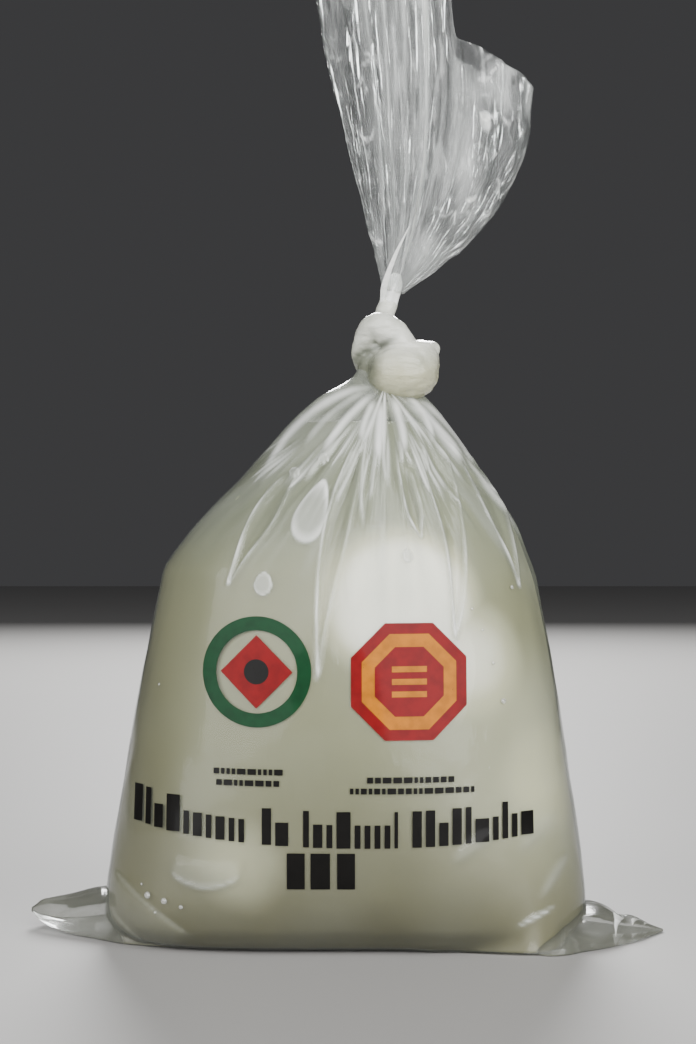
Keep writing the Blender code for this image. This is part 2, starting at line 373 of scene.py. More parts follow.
# Front of the pouch's foot where it spreads into the right corner: x and how far forward, in mm.
TOE = (
    (4.0, 0.0),
    (18.0, 33.0),
    (30.0, 36.5),
    (37.0, 38.6),
    (44.0, 40.4),
    (49.0, 40.8),
    (53.0, 38.6),
    (57.0, 32.5),
    (60.0, 20.0),
    (61.5, 0.0),
)
# How much the foot draws back for each unit of height, and how softly it meets the pouch.
TOE_LEAN = 0.30
TOE_BLEND = 0.0040
CORNER_SIDES = 180
CORNER_RINGS = 120
# Folds that run out to the tip: turn in degrees, width, rise in mm, whiteness.
CORNER_SPOKES = {
    -1: ((-34.0, 2.0, 0.25, 0.08), (16.0, 3.0, 0.25, 0.05), (38.0, 2.0, 0.25, 0.10)),
    1: ((-24.0, 2.2, 0.30, 0.10), (22.0, 3.2, 0.35, 0.10)),
}
# Raised facets, brightened as a painted highlight: reach in mm at the front edge and at the ridge,
# width at the ridge, shares of the way up at which they start and end, whiteness.
CORNER_FACET_HIGHLIGHTS = {
    -1: ((66.0, 67.5, 0.9, 0.20, 1.00, 0.10), (82.0, 83.0, 2.4, 0.55, 1.05, 0.26)),
    1: (
        (71.8, 73.2, 3.2, 0.05, 1.00, 1.00),
        (77.0, 78.6, 2.0, 0.40, 0.95, 0.80),
        (80.6, 82.2, 1.2, 0.50, 1.00, 0.60),
        (56.4, 61.0, 0.4, 0.00, 0.60, 0.40),
    ),
}
FACET_HEIGHT = 0.14

# Print on the front, in mm apart from the ink itself: plain marks and rows of blocks.
INK_LIFT = 0.00010
INK_LAYER = 0.00007
LEFT_MARK = (-22.8, 74.2)
RIGHT_MARK = (16.5, 71.8)
RING_RADII = (14.2, 10.6)
LOZENGE_RADIUS = 9.4
DOT_RADIUS = 3.2
SEAL_RADII = (16.2, 13.2, 9.6)
SEAL_BAR = (9.0, 1.5)
SEAL_BAR_STEP = 3.2
BIG_ROW = ((-56.0, -25.5), (-21.3, -14.5), (-10.7, 13.6), (17.3, 49.3))
BAR_WIDTHS = (1.5, 1.5, 2.4, 3.6)
BAR_GAP = 1.05
ROW_HEIGHTS = (6.0, 6.0, 6.0, 9.4)
BIG_HEIGHT = 9.4
ROW_FOOT = 29.2
ROW_MIDDLE = 6.0
ROW_SAG = 0.00125
LOW_MIDDLE = 23.2
LOW_BLOCKS = ((-12.6, 4.6), (-6.3, 5.0), (0.3, 4.6))
SMALL_ROWS = ((-33.9, -15.9, 47.9), (-33.2, -16.4, 45.0), (5.7, 28.3, 46.0), (1.3, 33.4, 43.2))
SMALL_WIDTHS = (0.9, 1.5, 2.2)
SMALL_GAP = 0.5
SMALL_HEIGHT = 1.5

# Stage. Lights: name, place, aim, size, power in watts.
FLOOR_REACH = 3.0
CAMERA_X = 0.0008
LIGHTS = (
    ("key", (0.55, -0.95, 0.66), (0.0, 0.0, 0.09), (1.6, 1.6), 31.0),
    ("fill", (-0.80, -0.85, 0.55), (0.0, 0.0, 0.09), (1.5, 1.5), 17.0),
    ("rear", (0.0, 1.28, 0.80), (0.0, 0.0, 0.10), (0.55, 0.8), 30.0),
)


def between(stations, key):
    """Values at `key` on a smooth curve through stations whose first value rises."""
    key = min(max(key, stations[0][0]), stations[-1][0])
    index = max(i for i, station in enumerate(stations[:-1]) if station[0] <= key)
    low, high = stations[index], stations[index + 1]
    before = stations[max(index - 1, 0)]
    after = stations[min(index + 2, len(stations) - 1)]
    span = high[0] - low[0]
    share = (key - low[0]) / span
    cube, square = share**3, share**2
    values = []
    for k in range(1, len(low)):
        leave = (high[k] - before[k]) / (high[0] - before[0]) * span
        arrive = (after[k] - low[k]) / (after[0] - low[0]) * span
        values.append(
            (2 * cube - 3 * square + 1) * low[k]
            + (cube - 2 * square + share) * leave
            + (3 * square - 2 * cube) * high[k]
            + (cube - square) * arrive
        )
    return values


def evenly(points):
    """Points as stations for between, at even steps from 0 to 1."""
    return [(i / (len(points) - 1), *point) for i, point in enumerate(points)]


def ramp(value, start, end):
    """0 before start, 1 after end, and a smooth rise between them. Takes numbers or arrays."""
    share = np.clip((value - start) / (end - start), 0.0, 1.0)
    return share * share * (3 - 2 * share)


def rounded(value, squareness):
    """A sine or cosine turned into that of a rounded square."""
    return math.copysign(abs(value) ** (2 / squareness), value)


class Wire:
    """A shader socket that takes part in Python arithmetic."""

    def __init__(self, paint, socket):
        self.paint = paint
        self.socket = socket

    def math(self, operation, *others):
        inputs = dict(enumerate((self, *others)))
        return self.paint.node("ShaderNodeMath", {"operation": operation}, inputs)

    def __add__(self, other):
        return self.math("ADD", other)

    __radd__ = __add__

    def __mul__(self, other):
        return self.math("MULTIPLY", other)

    __rmul__ = __mul__

    def __sub__(self, other):
        return self.math("SUBTRACT", other)

    def __rsub__(self, other):
        return self.paint.node("ShaderNodeMath", {"operation": "SUBTRACT"}, {0: other, 1: self})

    def __pow__(self, other):
        return self.math("POWER", other)

    def most(self, other):
        return self.math("MAXIMUM", other)

    def least(self, other):
        return self.math("MINIMUM", other)

    def rise(self, start, end):
        """0 at start, 1 at end, smooth between."""
        return self.paint.node(
            "ShaderNodeMapRange",
            {"interpolation_type": "SMOOTHSTEP"},
            {"Value": self, "From Min": start, "From Max": end},
        )


class Paint:
    """The nodes of one material."""

    def __init__(self, name):
        self.material = bpy.data.materials.new(name)
        self.material.use_nodes = True
        self.tree = self.material.node_tree
        self.tree.nodes.clear()

    def node(self, kind, settings=None, inputs=None, output=0):
        made = self.tree.nodes.new(kind)
        for key, value in (settings or {}).items():
            setattr(made, key, value)
        for key, value in (inputs or {}).items():
            if isinstance(value, Wire):
                self.tree.links.new(value.socket, made.inputs[key])
            else:
                made.inputs[key].default_value = value
        return Wire(self, made.outputs[output])

    def place(self):
        return self.node("ShaderNodeTexCoord", output="Object")

    def axes(self):
        """X, Y and Z of the object's own coordinates."""
        split = self.node("ShaderNodeSeparateXYZ", {}, {0: self.place()})
        return [Wire(self, split.socket.node.outputs[k]) for k in range(3)]

    def attribute(self, name):
        return self.node("ShaderNodeAttribute", {"attribute_name": name}, output="Fac")

    def cloud(self, scale, detail=3.0, where=None):
        """Noise between 0 and 1, about `scale` lumps to a metre."""
        inputs = {"Vector": where or self.place(), "Scale": scale, "Detail": detail}
        return self.node("ShaderNodeTexNoise", {}, inputs)

    def squeezed(self, scale):
        """Object coordinates stretched along some axes."""
        settings = {"operation": "MULTIPLY"}
        return self.node("ShaderNodeVectorMath", settings, {0: self.place(), 1: scale})

    def mix(self, share, first, second):
        """A blend of two colours."""
        first, second = (c if isinstance(c, Wire) else (*c, 1) for c in (first, second))
        inputs = {0: share, 6: first, 7: second}
        return self.node("ShaderNodeMix", {"data_type": "RGBA"}, inputs, 2)

    def bump(self, height, distance):
        return self.node("ShaderNodeBump", {}, {"Height": height, "Distance": distance})

    def principled(self, **inputs):
        named = {key.replace("_", " "): value for key, value in inputs.items()}
        return self.node("ShaderNodeBsdfPrincipled", {}, named)

    def shader_mix(self, share, first, second):
        return self.node("ShaderNodeMixShader", {}, {0: share, 1: first, 2: second})

    def finish(self, surface):
        output = self.tree.nodes.new("ShaderNodeOutputMaterial")
        self.tree.links.new(surface.socket, output.inputs["Surface"])
        return self.material


def film_material(
    name, colour, sheen_bump, least_milk, rim_milk, white_from=0.0, coat=0.5, index=1.33
):
    """Clear film that turns white by its `milk` attribute and where it is seen edge-on."""
    paint = Paint(name)
    milk = paint.attribute("milk")
    creases = paint.cloud(420.0, 2.0, paint.squeezed((1.0, 1.0, 0.35)))
    broad = paint.cloud(46.0, 2.0)
    normal = paint.bump(creases * 0.12 + broad, sheen_bump)
    facing = paint.node("ShaderNodeLayerWeight", {}, {"Blend": 0.5}, "Facing")
    share = (least_milk + milk * (0.94 - least_milk) + facing ** 3 * rim_milk).least(1.0)
    tint = paint.mix(milk.rise(white_from, 1.0), colour, (0.92, 0.93, 0.90))
    milky = paint.principled(
        Base_Color=tint,
        Roughness=0.26,
        Specular_IOR_Level=0.35,
        Coat_Weight=coat,
        Coat_Roughness=0.08,
        Normal=normal,
    )
    shine = paint.node("ShaderNodeFresnel", {}, {"IOR": index, "Normal": normal})
    polish = {"Color": (0.95, 0.96, 0.96, 1), "Roughness": 0.12, "Normal": normal}
    gloss = paint.node("ShaderNodeBsdfGlossy", {}, polish)
    clear = paint.node("ShaderNodeBsdfTransparent", {}, {"Color": (0.97, 0.975, 0.97, 1)})
    sheet = paint.shader_mix(shine, clear, gloss)
    return paint.finish(paint.shader_mix(share, sheet, milky))


def whey_material(colours, ball_radius):
    """Cloudy whey that shows the white of the balls where little of it is in front of them, with
    painted light on the balls' lit sides.
    """
    paint = Paint("cloudy_whey")
    where = paint.place()

    def depth_from(centre, radius):
        inputs = {0: where, 1: centre}
        away = paint.node("ShaderNodeVectorMath", {"operation": "DISTANCE"}, inputs, "Value")
        return (away - radius).most(0.0)

    def fading(depth, distance):
        return (depth * (-1 / distance)).math("EXPONENT")

    ball_white_and_light = near = None
    # Painted light: bright spots of ball white, set towards the balls' lit tops and sides.
    for centre, radius, strength in BALL_WHITE_AND_PAINTED_LIGHT:
        depth = depth_from(centre, radius)
        haze = fading(depth, colours.whey_depth) * 0.28
        light = (1.0 - depth.rise(0.0006, 0.0098)).most(haze) * strength
        ball_white_and_light = light if ball_white_and_light is None else ball_white_and_light.most(light)
    for centre, size in BALLS:
        window = fading(depth_from(centre, ball_radius * size), colours.window_depth)
        near = window if near is None else near.most(window)
    x, _, z = paint.axes()
    drift = paint.cloud(26.0, 3.0)
    fine = paint.cloud(210.0, 4.0)
    deep = paint.mix(z.rise(0.0, 0.060), colours.whey_low, colours.whey_high)
    deep = paint.mix(z.rise(0.088, 0.120) * 0.85, deep, colours.whey_top)
    # Painted light: the whey is lighter low on the right, its lit side.
    painted_lit_side = x.rise(0.010, 0.055) * z.rise(0.010, 0.045) * (1.0 - z.rise(0.062, 0.086))
    deep = paint.mix(painted_lit_side, deep, colours.whey_painted_lit_side)
    # Painted shade: the whey darkens towards its left edge.
    deep = paint.mix((0.0 - x).rise(0.034, 0.060) * 0.80, deep, colours.whey_low)
    corner = (0.0 - x).rise(0.044, 0.060) * (0.018 - z).rise(0.0, 0.014)
    deep = paint.mix(corner * 0.7, deep, colours.whey_corner)
    cloudy = ball_white_and_light * (1.0 - corner) + (drift - 0.5) * 0.22 + (fine - 0.5) * 0.05
    veiled = paint.mix(cloudy.rise(0.0, 0.75), deep, colours.veiled)
    colour = paint.mix(cloudy.rise(0.55, 1.0), veiled, colours.cheese)
    body = paint.principled(
        Base_Color=colour,
        Roughness=0.38,
        Alpha=1.0 - near * CLEAREST_WHEY,
        Normal=paint.bump(drift, 0.0006),
    )
    return paint.finish(body)


def cheese_material(colours):
    """White, moist skin with a faint mottle."""
    paint = Paint("mozzarella_skin")
    mottled = paint.cloud(95.0, 4.0)
    grain = paint.cloud(700.0, 3.0)
    colour = paint.mix(mottled.rise(0.3, 0.75), colours.cheese, colours.cheese_shade)
    skin = paint.principled(
        Base_Color=colour,
        Roughness=0.34 + grain * 0.12,
        Coat_Weight=0.4,
        Coat_Roughness=0.15,
        Normal=paint.bump(mottled + grain * 0.15, 0.0007),
    )
    return paint.finish(skin)


def knot_material(name, colours, light, shade):
    """Many layers of film drawn tight: opaque ivory, with fine creases, and painted shade under it
    and in its creases.
    """
    paint = Paint(name)
    _, _, z = paint.axes()
    lines = paint.cloud(260.0, 4.0, paint.squeezed((1.0, 1.0, 2.6)))
    veil = paint.cloud(120.0, 3.0)
    # Painted shade: the knot turns darker and warmer towards its underside.
    warm_underside_shade = 1.0 - (z + (veil - 0.5) * 0.005).rise(0.1520, 0.1630)
    base = paint.mix(veil.rise(0.35, 0.70), light, shade)
    colour = paint.mix(warm_underside_shade * 0.9, base, colours.knot_warm_underside_shade)
    # Painted shade in the knot's hollows, along the groove under its upper strand and over its lower
    # left.
    colour = paint.mix(paint.attribute("crease") * 0.88, colour, colours.knot_painted_shade)
    body = paint.principled(
        Base_Color=colour,
        Roughness=0.24,
        Coat_Weight=0.45,
        Coat_Roughness=0.17,
        Subsurface_Weight=0.1,
        Subsurface_Scale=0.002,
        Subsurface_Radius=(1.0, 0.95, 0.8),
        Normal=paint.bump(lines, 0.00055),
    )
    return paint.finish(body)


def ink_material(name, colour):
    """Ink on film: slightly uneven, glossy, thin at small spots."""
    paint = Paint(name)
    uneven = paint.cloud(330.0, 4.0)
    shade = tuple(0.72 * c for c in colour)
    tone = paint.mix(uneven.rise(0.35, 0.75), colour, shade)
    worn = paint.cloud(1500.0, 2.0).rise(0.74, 0.80)
    ink = paint.principled(
        Base_Color=tone,
        Roughness=0.40,
        Specular_IOR_Level=0.12,
        Coat_Weight=0.12,
        Coat_Roughness=0.10,
        Alpha=1.0 - worn * 0.55,
        Normal=paint.bump(paint.cloud(46.0, 2.0), 0.0008),
    )
    return paint.finish(ink)


def bead_material():
    """Clear bead with a painted highlight: white shown towards its rim."""
    paint = Paint("air_bead")
    facing = paint.node("ShaderNodeLayerWeight", {}, {"Blend": 0.5}, "Facing")
    gloss = paint.node("ShaderNodeBsdfGlossy", {}, {"Roughness": 0.05})
    clear = paint.node("ShaderNodeBsdfTransparent", {}, {"Color": (0.98, 0.98, 0.97, 1)})
    # Painted highlight: a white skin that shows towards the bead's rim.
    white = paint.principled(Base_Color=(0.88, 0.89, 0.86, 1), Roughness=0.12)
    lit = paint.shader_mix(0.5, gloss, white)
    return paint.finish(paint.shader_mix(0.25 + facing * 0.6, clear, lit))


def floor_material(colour):
    paint = Paint("pale_floor")
    speck = paint.cloud(9.0, 3.0)
    tone = paint.mix(speck, colour, tuple(0.97 * c for c in colour))
    return paint.finish(paint.principled(Base_Color=tone, Roughness=0.62))


def tube_shape(sides, rings, place):
    """A closed cylinder whose points go where place(angle, share of its length) says."""
    shape = bmesh.new()
    bmesh.ops.create_cone(shape, cap_ends=True, segments=sides, radius1=1, radius2=1, depth=1)
    upright = [e for e in shape.edges if abs(e.verts[0].co.z - e.verts[1].co.z) > 0.5]
    bmesh.ops.subdivide_edges(shape, edges=upright, cuts=rings - 1)
    for vert in shape.verts:
        vert.co = place(math.atan2(vert.co.y, vert.co.x), vert.co.z + 0.5)
    bmesh.ops.recalc_face_normals(shape, faces=shape.faces)
    return shape


def open_tube_shape(sides, rings, place):
    """The same without its caps."""
    shape = tube_shape(sides, rings, place)
    caps = [face for face in shape.faces if len(face.verts) > 4]
    bmesh.ops.delete(shape, geom=caps, context="FACES_ONLY")
    return shape


def as_object(name, shape, material=None):
    """Turns a bmesh into an object of the scene, shaded smooth."""
    mesh = bpy.data.meshes.new(name)
    shape.to_mesh(mesh)
    shape.free()
    made = bpy.data.objects.new(name, mesh)
    bpy.context.scene.collection.objects.link(made)
    if material:
        mesh.materials.append(material)
    mesh.shade_smooth()
    return made


def settle(made):
    """Applies the modifiers of a finished piece, and ties it to the frame."""
    if made.modifiers:
        graph = bpy.context.evaluated_depsgraph_get()
        mesh = bpy.data.meshes.new_from_object(made.evaluated_get(graph))
        made.modifiers.clear()
        made.data = mesh
    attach(made, BODY)
    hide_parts(BAG_NODE)
    return made


def points_of(mesh):
    flat = np.empty(3 * len(mesh.vertices))
    mesh.vertices.foreach_get("co", flat)
    return flat.reshape(-1, 3)


def move_along_normals(mesh, lift):
    """Moves every point of a mesh along its normal."""
    flat = np.empty(3 * len(mesh.vertices))
    mesh.vertex_normals.foreach_get("vector", flat)
    moved = points_of(mesh) + flat.reshape(-1, 3) * lift[:, None]
    moved[:, 2] = np.maximum(moved[:, 2], 0.0)
    mesh.vertices.foreach_set("co", moved.ravel())
    mesh.update()


def hollows(mesh, passes):
    """How far each point lies under the smoothed surface around it, in metres."""
    points = points_of(mesh)
    normals = np.empty(3 * len(points))
    mesh.vertex_normals.foreach_get("vector", normals)
    ends = np.empty(2 * len(mesh.edges), dtype=np.int32)
    mesh.edges.foreach_get("vertices", ends)
    first, second = ends.reshape(-1, 2).T
    both = np.concatenate((first, second))
    other = np.concatenate((second, first))
    count = np.bincount(both, minlength=len(points))
    smooth = points.copy()
    for _ in range(passes):
        for axis in range(3):
            smooth[:, axis] = np.bincount(both, smooth[other, axis], len(points)) / count
    return ((smooth - points) * normals.reshape(-1, 3)).sum(axis=1)


def add_attribute(mesh, name, values):
    layer = mesh.attributes.new(name, "FLOAT", "POINT")
    layer.data.foreach_set("value", np.clip(values, 0.0, 1.0).astype(np.float32))


def noise_at(points, scale, seed):
    """Smooth noise between -1 and 1 at every point."""
    shift = Vector((seed * 3.7, seed * 1.9, seed * 5.3))
    return np.array([noise.noise(Vector(p) * scale + shift) for p in points])


def pouch_section(height):
    """Middle in x, half width, half depth and squareness of the pouch at this height."""
    left, right, depth, squareness = between(POUCH_STATIONS, height)
    return (right - left) / 2, (left + right) / 2, depth, squareness


def pouch_surface(inset, top, sections):
    """The point function of the pouch at `inset` inside its outer face."""

    def height_of(share):
        if share < SMOOTH_SHARE:
            return PLEATED_FROM * (share / SMOOTH_SHARE) ** 1.1
        return PLEATED_FROM + (top - PLEATED_FROM) * (share - SMOOTH_SHARE) / (1 - SMOOTH_SHARE)

    def place(angle, share):
        key = round(share, 5)
        if key not in sections:
            height = height_of(share)
            sections[key] = (height, *pouch_section(height))
        height, centre, half, depth, squareness = sections[key]
        angle -= FRONT_CROWDING * math.cos(angle)
        x = centre + (half - inset) * rounded(math.cos(angle), squareness)
        y = (depth - inset) * rounded(math.sin(angle), squareness)
        return Vector((x, spread_toe(x, y, height, inset), max(height, inset * 0.5)))

    return place


def spread_toe(x, y, height, inset):
    """Draws the front forward where the bag's lower right spreads into its corner."""
    if y >= 0:
        return y
    (forward,) = between(TOE, x / MM)
    gain = forward * MM - TOE_LEAN * height - inset + y
    return y - (gain + math.hypot(gain, TOE_BLEND)) / 2


def turned_ridges(turn):
    """The front's ridges, turned about the foot of the knot."""
    return [(start + turn, near, tip + turn, *rest) for start, near, tip, *rest in FRONT_RIDGES]


def random_ridges(draw):
    ridges = []
    for _ in range(RANDOM_RIDGES):
        angle = draw.uniform(-60, 56)
        start = draw.uniform(13, 22)
        tip = draw.uniform(20, 38)
        ridges.append((angle, start, angle + draw.uniform(-4, 4), tip, draw.uniform(0.6, 1.0)))
    return ridges


def beside(angle, reach, start_angle, start, tip_angle, tip):
    """Share of the way along a fold, the same kept between 0 and 1, and mm beside it."""
    along = (reach - start) / (tip - start)
    inside = np.clip(along, 0.0, 1.0)
    lateral = np.radians(angle - start_angle - (tip_angle - start_angle) * inside) * reach
    return along, inside, lateral


def fan_place(points):
    """Angle from straight down in degrees and reach in mm, seen from the foot of the knot."""
    side = points[:, 0] - FOLD_FOOT[0]
    down = FOLD_FOOT[1] - points[:, 2]
    return np.degrees(np.arctan2(side, down)), np.hypot(side, down) / MM


def clear_of_rim(angle, reach):
    """Fades folds out where the shoulders' silhouette is smooth, close to the knot."""
    return 1 - ramp(np.abs(angle), 36, 54) * ramp(reach, 38, 24)


def gathered_film(points, angle, reach):
    """Height in mm and whiteness of the fine folds that fan out from the knot."""
    _, y, z = points.T
    front_back = np.where(y < 0, 0.0, 90.0)
    fan = np.stack((angle * 0.10 + front_back, reach * 0.018, np.zeros(len(points))), axis=1)
    broad = noise_at(fan, 1.0, 31)
    inside = ramp(np.abs(y), 0.0, SIDE_FADE) * clear_of_rim(angle, reach)
    spread = ramp(reach, 13, 25)
    streak = noise_at(fan * (3.4, 1.6, 1.0), 1.0, 32) * spread + 1.5 * broad * (1 - spread)
    streak *= inside
    hair = noise_at(fan * (9.5, 3.0, 1.0), 1.0, 33) * inside
    height = STREAK_RISE * streak * ramp(reach, 5, 15) * ramp(reach, 66, 24)
    height += HAIR_RISE * hair * ramp(reach, 15, 30) * ramp(reach, 52, 30)
    edge_angles, edge_reaches = np.array(GATHER_EDGE).T
    edge = np.interp(angle, edge_angles, edge_reaches) + 6.0 * streak + 4.0 * hair
    gathered = ramp(reach, edge + 2.0, edge - 2.5)
    shoulder = ramp(reach, 78, 44) * ramp(z, 0.070, 0.092)
    milk = shoulder * (0.07 + 0.20 * broad + 0.22 * streak)
    inner = 0.13 + 1.00 * streak + 0.60 * hair * ramp(reach, 10, 20) + 0.08 * ramp(reach, 18, 5)
    return height, np.maximum(milk, gathered * np.clip(inner, 0.03, 0.90))


def add_loops(height, milk, angle, reach, loops, here):
    """Adds folds that run out as a loop: a raised, white rim round a clear trough, with a painted
    highlight on the rim's left side.
    """
    for *ends, half in loops:
        along, inside, lateral = beside(angle, reach, *ends)
        width = half * np.sin(np.pi * (0.12 + 0.88 * inside) ** 0.72) ** 0.85
        width *= 1 + 0.22 * np.sin(5.0 * inside + half * 7)
        on = ramp(along, -0.05, 0.12) * ramp(along, 1.05, 0.985) * here
        rim_width = 0.36 + 0.16 * inside
        rim = np.exp(-(((np.abs(lateral) - width) / rim_width) ** 2)) * on
        trough = ramp(np.abs(lateral), width, width * 0.25 - 0.05) * on
        # Painted highlight: the rim is whiter on its left side, in patches along it.
        lit = np.where(lateral < 0, 1.0, 0.62)
        lit *= 0.55 + 0.45 * np.sin(9 * inside + half * 3) ** 2
        height = height + (LOOP_RIDGE * rim - LOOP_TROUGH * trough) * (1 - 0.3 * inside)
        milk = milk * (1 - 0.85 * trough * ramp(reach, 16, 30))
        milk = np.maximum(milk, rim * lit * (0.45 + 0.50 * inside))
        milk = np.maximum(milk, 0.8 * ramp(along, 0.93, 0.99) * rim)
    return height, milk


def add_ridges(height, milk, angle, reach, ridges, here):
    """Adds narrow ridges that widen and fade out towards their tips."""
    here = here * clear_of_rim(angle, reach) * ramp(reach, 10, 19)
    for *ends, widest in ridges:
        along, inside, lateral = beside(angle, reach, *ends)
        width = np.maximum(widest * (0.40 + 0.55 * inside), 0.5)
        on = ramp(along, -0.2, 0.15) * ramp(along, 1.05, 0.70) * here
        crest = np.exp(-((lateral / width) ** 2)) * on
        height = height + RIDGE_HEIGHT * crest
        milk = np.maximum(milk, 0.58 * crest)
    return height, milk


def add_pleats(height, milk, angle, reach, here):
    """Adds the broad, white pleats just below the knot."""
    for *ends, width, white in PLEATS:
        along, _, lateral = beside(angle, reach, *ends)
        crest = np.exp(-((lateral / width) ** 2)) * here
        crest *= ramp(along, -0.30, 0.10) * ramp(along, 1.10, 0.70)
        height = height + PLEAT_HEIGHT * crest
        milk = np.maximum(milk, white * crest)
    return height, milk


def fold_relief(points):
    """How far folds push the film out, in metres, and how white they make it."""
    y = points[:, 1]
    angle, reach = fan_place(points)
    height, milk = gathered_film(points, angle, reach)
    draw = np.random.RandomState(11)
    for sign, loops, ridges in (
        (-1, FRONT_LOOPS, FRONT_RIDGES),
        (1, BACK_LOOPS, turned_ridges(BACK_TURN)),
    ):
        here = ramp(y * sign, 0.0, SIDE_FADE)
        height, milk = add_loops(height, milk, angle, reach, loops, here)
        ridges = [*ridges, *random_ridges(draw)]
        height, milk = add_ridges(height, milk, angle, reach, ridges, here)
    beyond_rim = ramp(np.abs(y), 0.0, PLEAT_FADE)
    height, milk = add_pleats(height, milk, angle, reach, beyond_rim)
    return height * MM, milk


def beside_line(x, z, start_x, start_z, end_x, end_z):
    """Share of the way along a straight line, and the distance above it."""
    run = np.hypot(end_x - start_x, end_z - start_z)
    cos, sin = (end_x - start_x) / run, (end_z - start_z) / run
    along = ((x - start_x) * cos + (z - start_z) * sin) / run
    above = (z - start_z) * cos - (x - start_x) * sin
    return along, above


def bubble_relief(points):
    """Flat bubbles of air under the front film."""
    x, y, z = points.T
    height = np.zeros(len(points))
    milk = np.zeros(len(points))
    front = y < 0
    for centre_x, centre_z, half_width, half_length, lean, narrowing in FRONT_BUBBLES:
        side = x / MM - centre_x
        up = z / MM - centre_z
        turn = math.radians(lean)
        across = side * math.cos(turn) - up * math.sin(turn)
        along = side * math.sin(turn) + up * math.cos(turn)
        taper = 1 - narrowing * along / half_length
        away = np.hypot(across / (half_width * np.maximum(taper, 0.2)), along / half_length)
        on = ramp(away, 1.10, 0.92) * front
        height += BUBBLE_HEIGHT * ramp(away, 1.15, 0.75) * front
        # Painted highlight: a bubble is whiter at its rim and towards its upper end.
        white = 0.40 + 0.34 * ramp(away, 0.62, 1.0) + 0.20 * ramp(along, 2.0, 7.0)
        milk = np.maximum(milk, on * white)
    return height * MM, milk


def dent_relief(points):
    """A pressed patch and the corner's edges low on the left, soft streaks with painted highlights
    low on the right.
    """
    x, y, z = (points / MM).T
    front = ramp(-y, 5, 20)
    middle, half, foot, top = PATCH
    side = (x - middle) / half
    lip = foot + 2.6 * side**2
    on = ramp(np.abs(side), 1.15, 0.85) * front
    patch = ramp(z, lip - 0.6, lip + 0.6) * ramp(z, top, top - 4.5) * on
    line = np.exp(-(((z - lip) / 0.75) ** 2)) * on
    height = PATCH_HEIGHT * patch + LIP_HEIGHT * line
    milk = 0.10 * patch + 0.34 * line
    for *ends, width, white in STREAKS_WITH_HIGHLIGHTS:
        along, above = beside_line(x, z, *ends)
        bowed = above + 1.6 * (along - 0.5) ** 2
        slim = width * (0.5 + 0.5 * np.sin(np.pi * np.clip(along, 0, 1)))
        crest = np.exp(-((bowed / slim) ** 2)) * ramp(along, 0.0, 0.3) * ramp(along, 1.0, 0.7)
        height += STREAK_HEIGHT * crest * front
        # Painted highlight along each streak's crest.
        milk = np.maximum(milk, white * crest * front)
    for ends in LEFT_FLAP:
        along, above = beside_line(x, z, *ends)
        on = ramp(along, -0.2, 0.05) * ramp(along, 1.15, 0.85) * ramp(-y, 2, 10)
        height += FLAP_HEIGHT * ramp(-above, -0.6, 0.8) * ramp(-above, 9.0, 3.0) * on
        white = 0.15 * np.exp(-((above / 0.6) ** 2)) + 0.07 * ramp(-above, 0, 1.5)
        milk = np.maximum(milk, white * on)
    return height * MM, milk


def film_relief(points):
    """All that lifts the film off the smooth pouch, in metres, and how white it is."""
    fold, fold_milk = fold_relief(points)
    bubble, bubble_milk = bubble_relief(points)
    dent, dent_milk = dent_relief(points)
    free = 1 - ramp(points[:, 2], 0.0060, 0.0)
    waves = 0.55 * noise_at(points, 32.0, 1) + 0.22 * noise_at(points, 90.0, 2)
    stretch = points * np.array((1.0, 1.0, 0.22))
    pulls = 0.26 * noise_at(stretch, 140.0, 3) * ramp(points[:, 2], 0.02, 0.09)
    height = fold + bubble + dent + (waves + pulls) * free * MM
    haze = 0.035 * (noise_at(points, 60.0, 4) + 0.6)
    milk = np.maximum.reduce((fold_milk, bubble_milk, dent_milk, np.zeros(len(points)))) + haze
    return height, milk


def make_film(sizes, colours):
    """The pouch of film, up to the knot."""
    shape = tube_shape(FILM_SIDES, FILM_RINGS, pouch_surface(sizes.relief_room, POUCH_TOP, {}))
    material = film_material("pouch_film", colours.film, 0.0007, colours.film_haze, 0.14)
    film = as_object("pouch_film", shape, material)
    height, milk = film_relief(points_of(film.data))
    move_along_normals(film.data, height)
    add_attribute(film.data, "milk", milk)
    return settle(film)


def make_whey(sizes, colours):
    """The whey just inside the film, troughs and all, with what stands in the left corner."""
    inset = sizes.relief_room + sizes.whey_gap
    shape = tube_shape(WHEY_SIDES, WHEY_RINGS, pouch_surface(inset, WHEY_LEVEL, {}))
    whey = as_object("whey", shape, whey_material(colours, sizes.ball_radius))
    points = points_of(whey.data)
    height, _ = fold_relief(points)
    level = ramp(points[:, 2], WHEY_LEVEL, WHEY_LEVEL - 0.002)
    move_along_normals(whey.data, np.minimum(height, 0.0) * level)
    settle(whey)
    make_corner_whey(whey.data.materials[0])


def ball_crease(out):
    """Depth of the front ball's crease in the direction `out` from its middle."""
    height, slope, width, depth = BALL_CREASE
    line = out.z - height - slope * out.x
    left = ramp(out.x, 0.05, -0.25) * ramp(out.y, 0.2, -0.3)
    return depth * math.exp(-((line / width) ** 2)) * left


def make_balls(sizes, colours):
    material = cheese_material(colours)
    for number, (centre, size) in enumerate(BALLS, 1):
        radius = sizes.ball_radius * size
        shape = bmesh.new()
        bmesh.ops.create_icosphere(shape, subdivisions=BALL_DETAIL, radius=1)
        seed = Vector((number * 7.1, 0.0, number * 2.3))
        for vert in shape.verts:
            out = vert.co.copy()
            lump = 0.030 * noise.noise(out * 1.1 + seed) + 0.008 * noise.noise(out * 4.0 + seed)
            crease = ball_crease(out) if number == 1 else 0.0
            vert.co = centre + out * radius * (1 + lump - crease)
        settle(as_object(f"cheese_ball_{number}", shape, material))


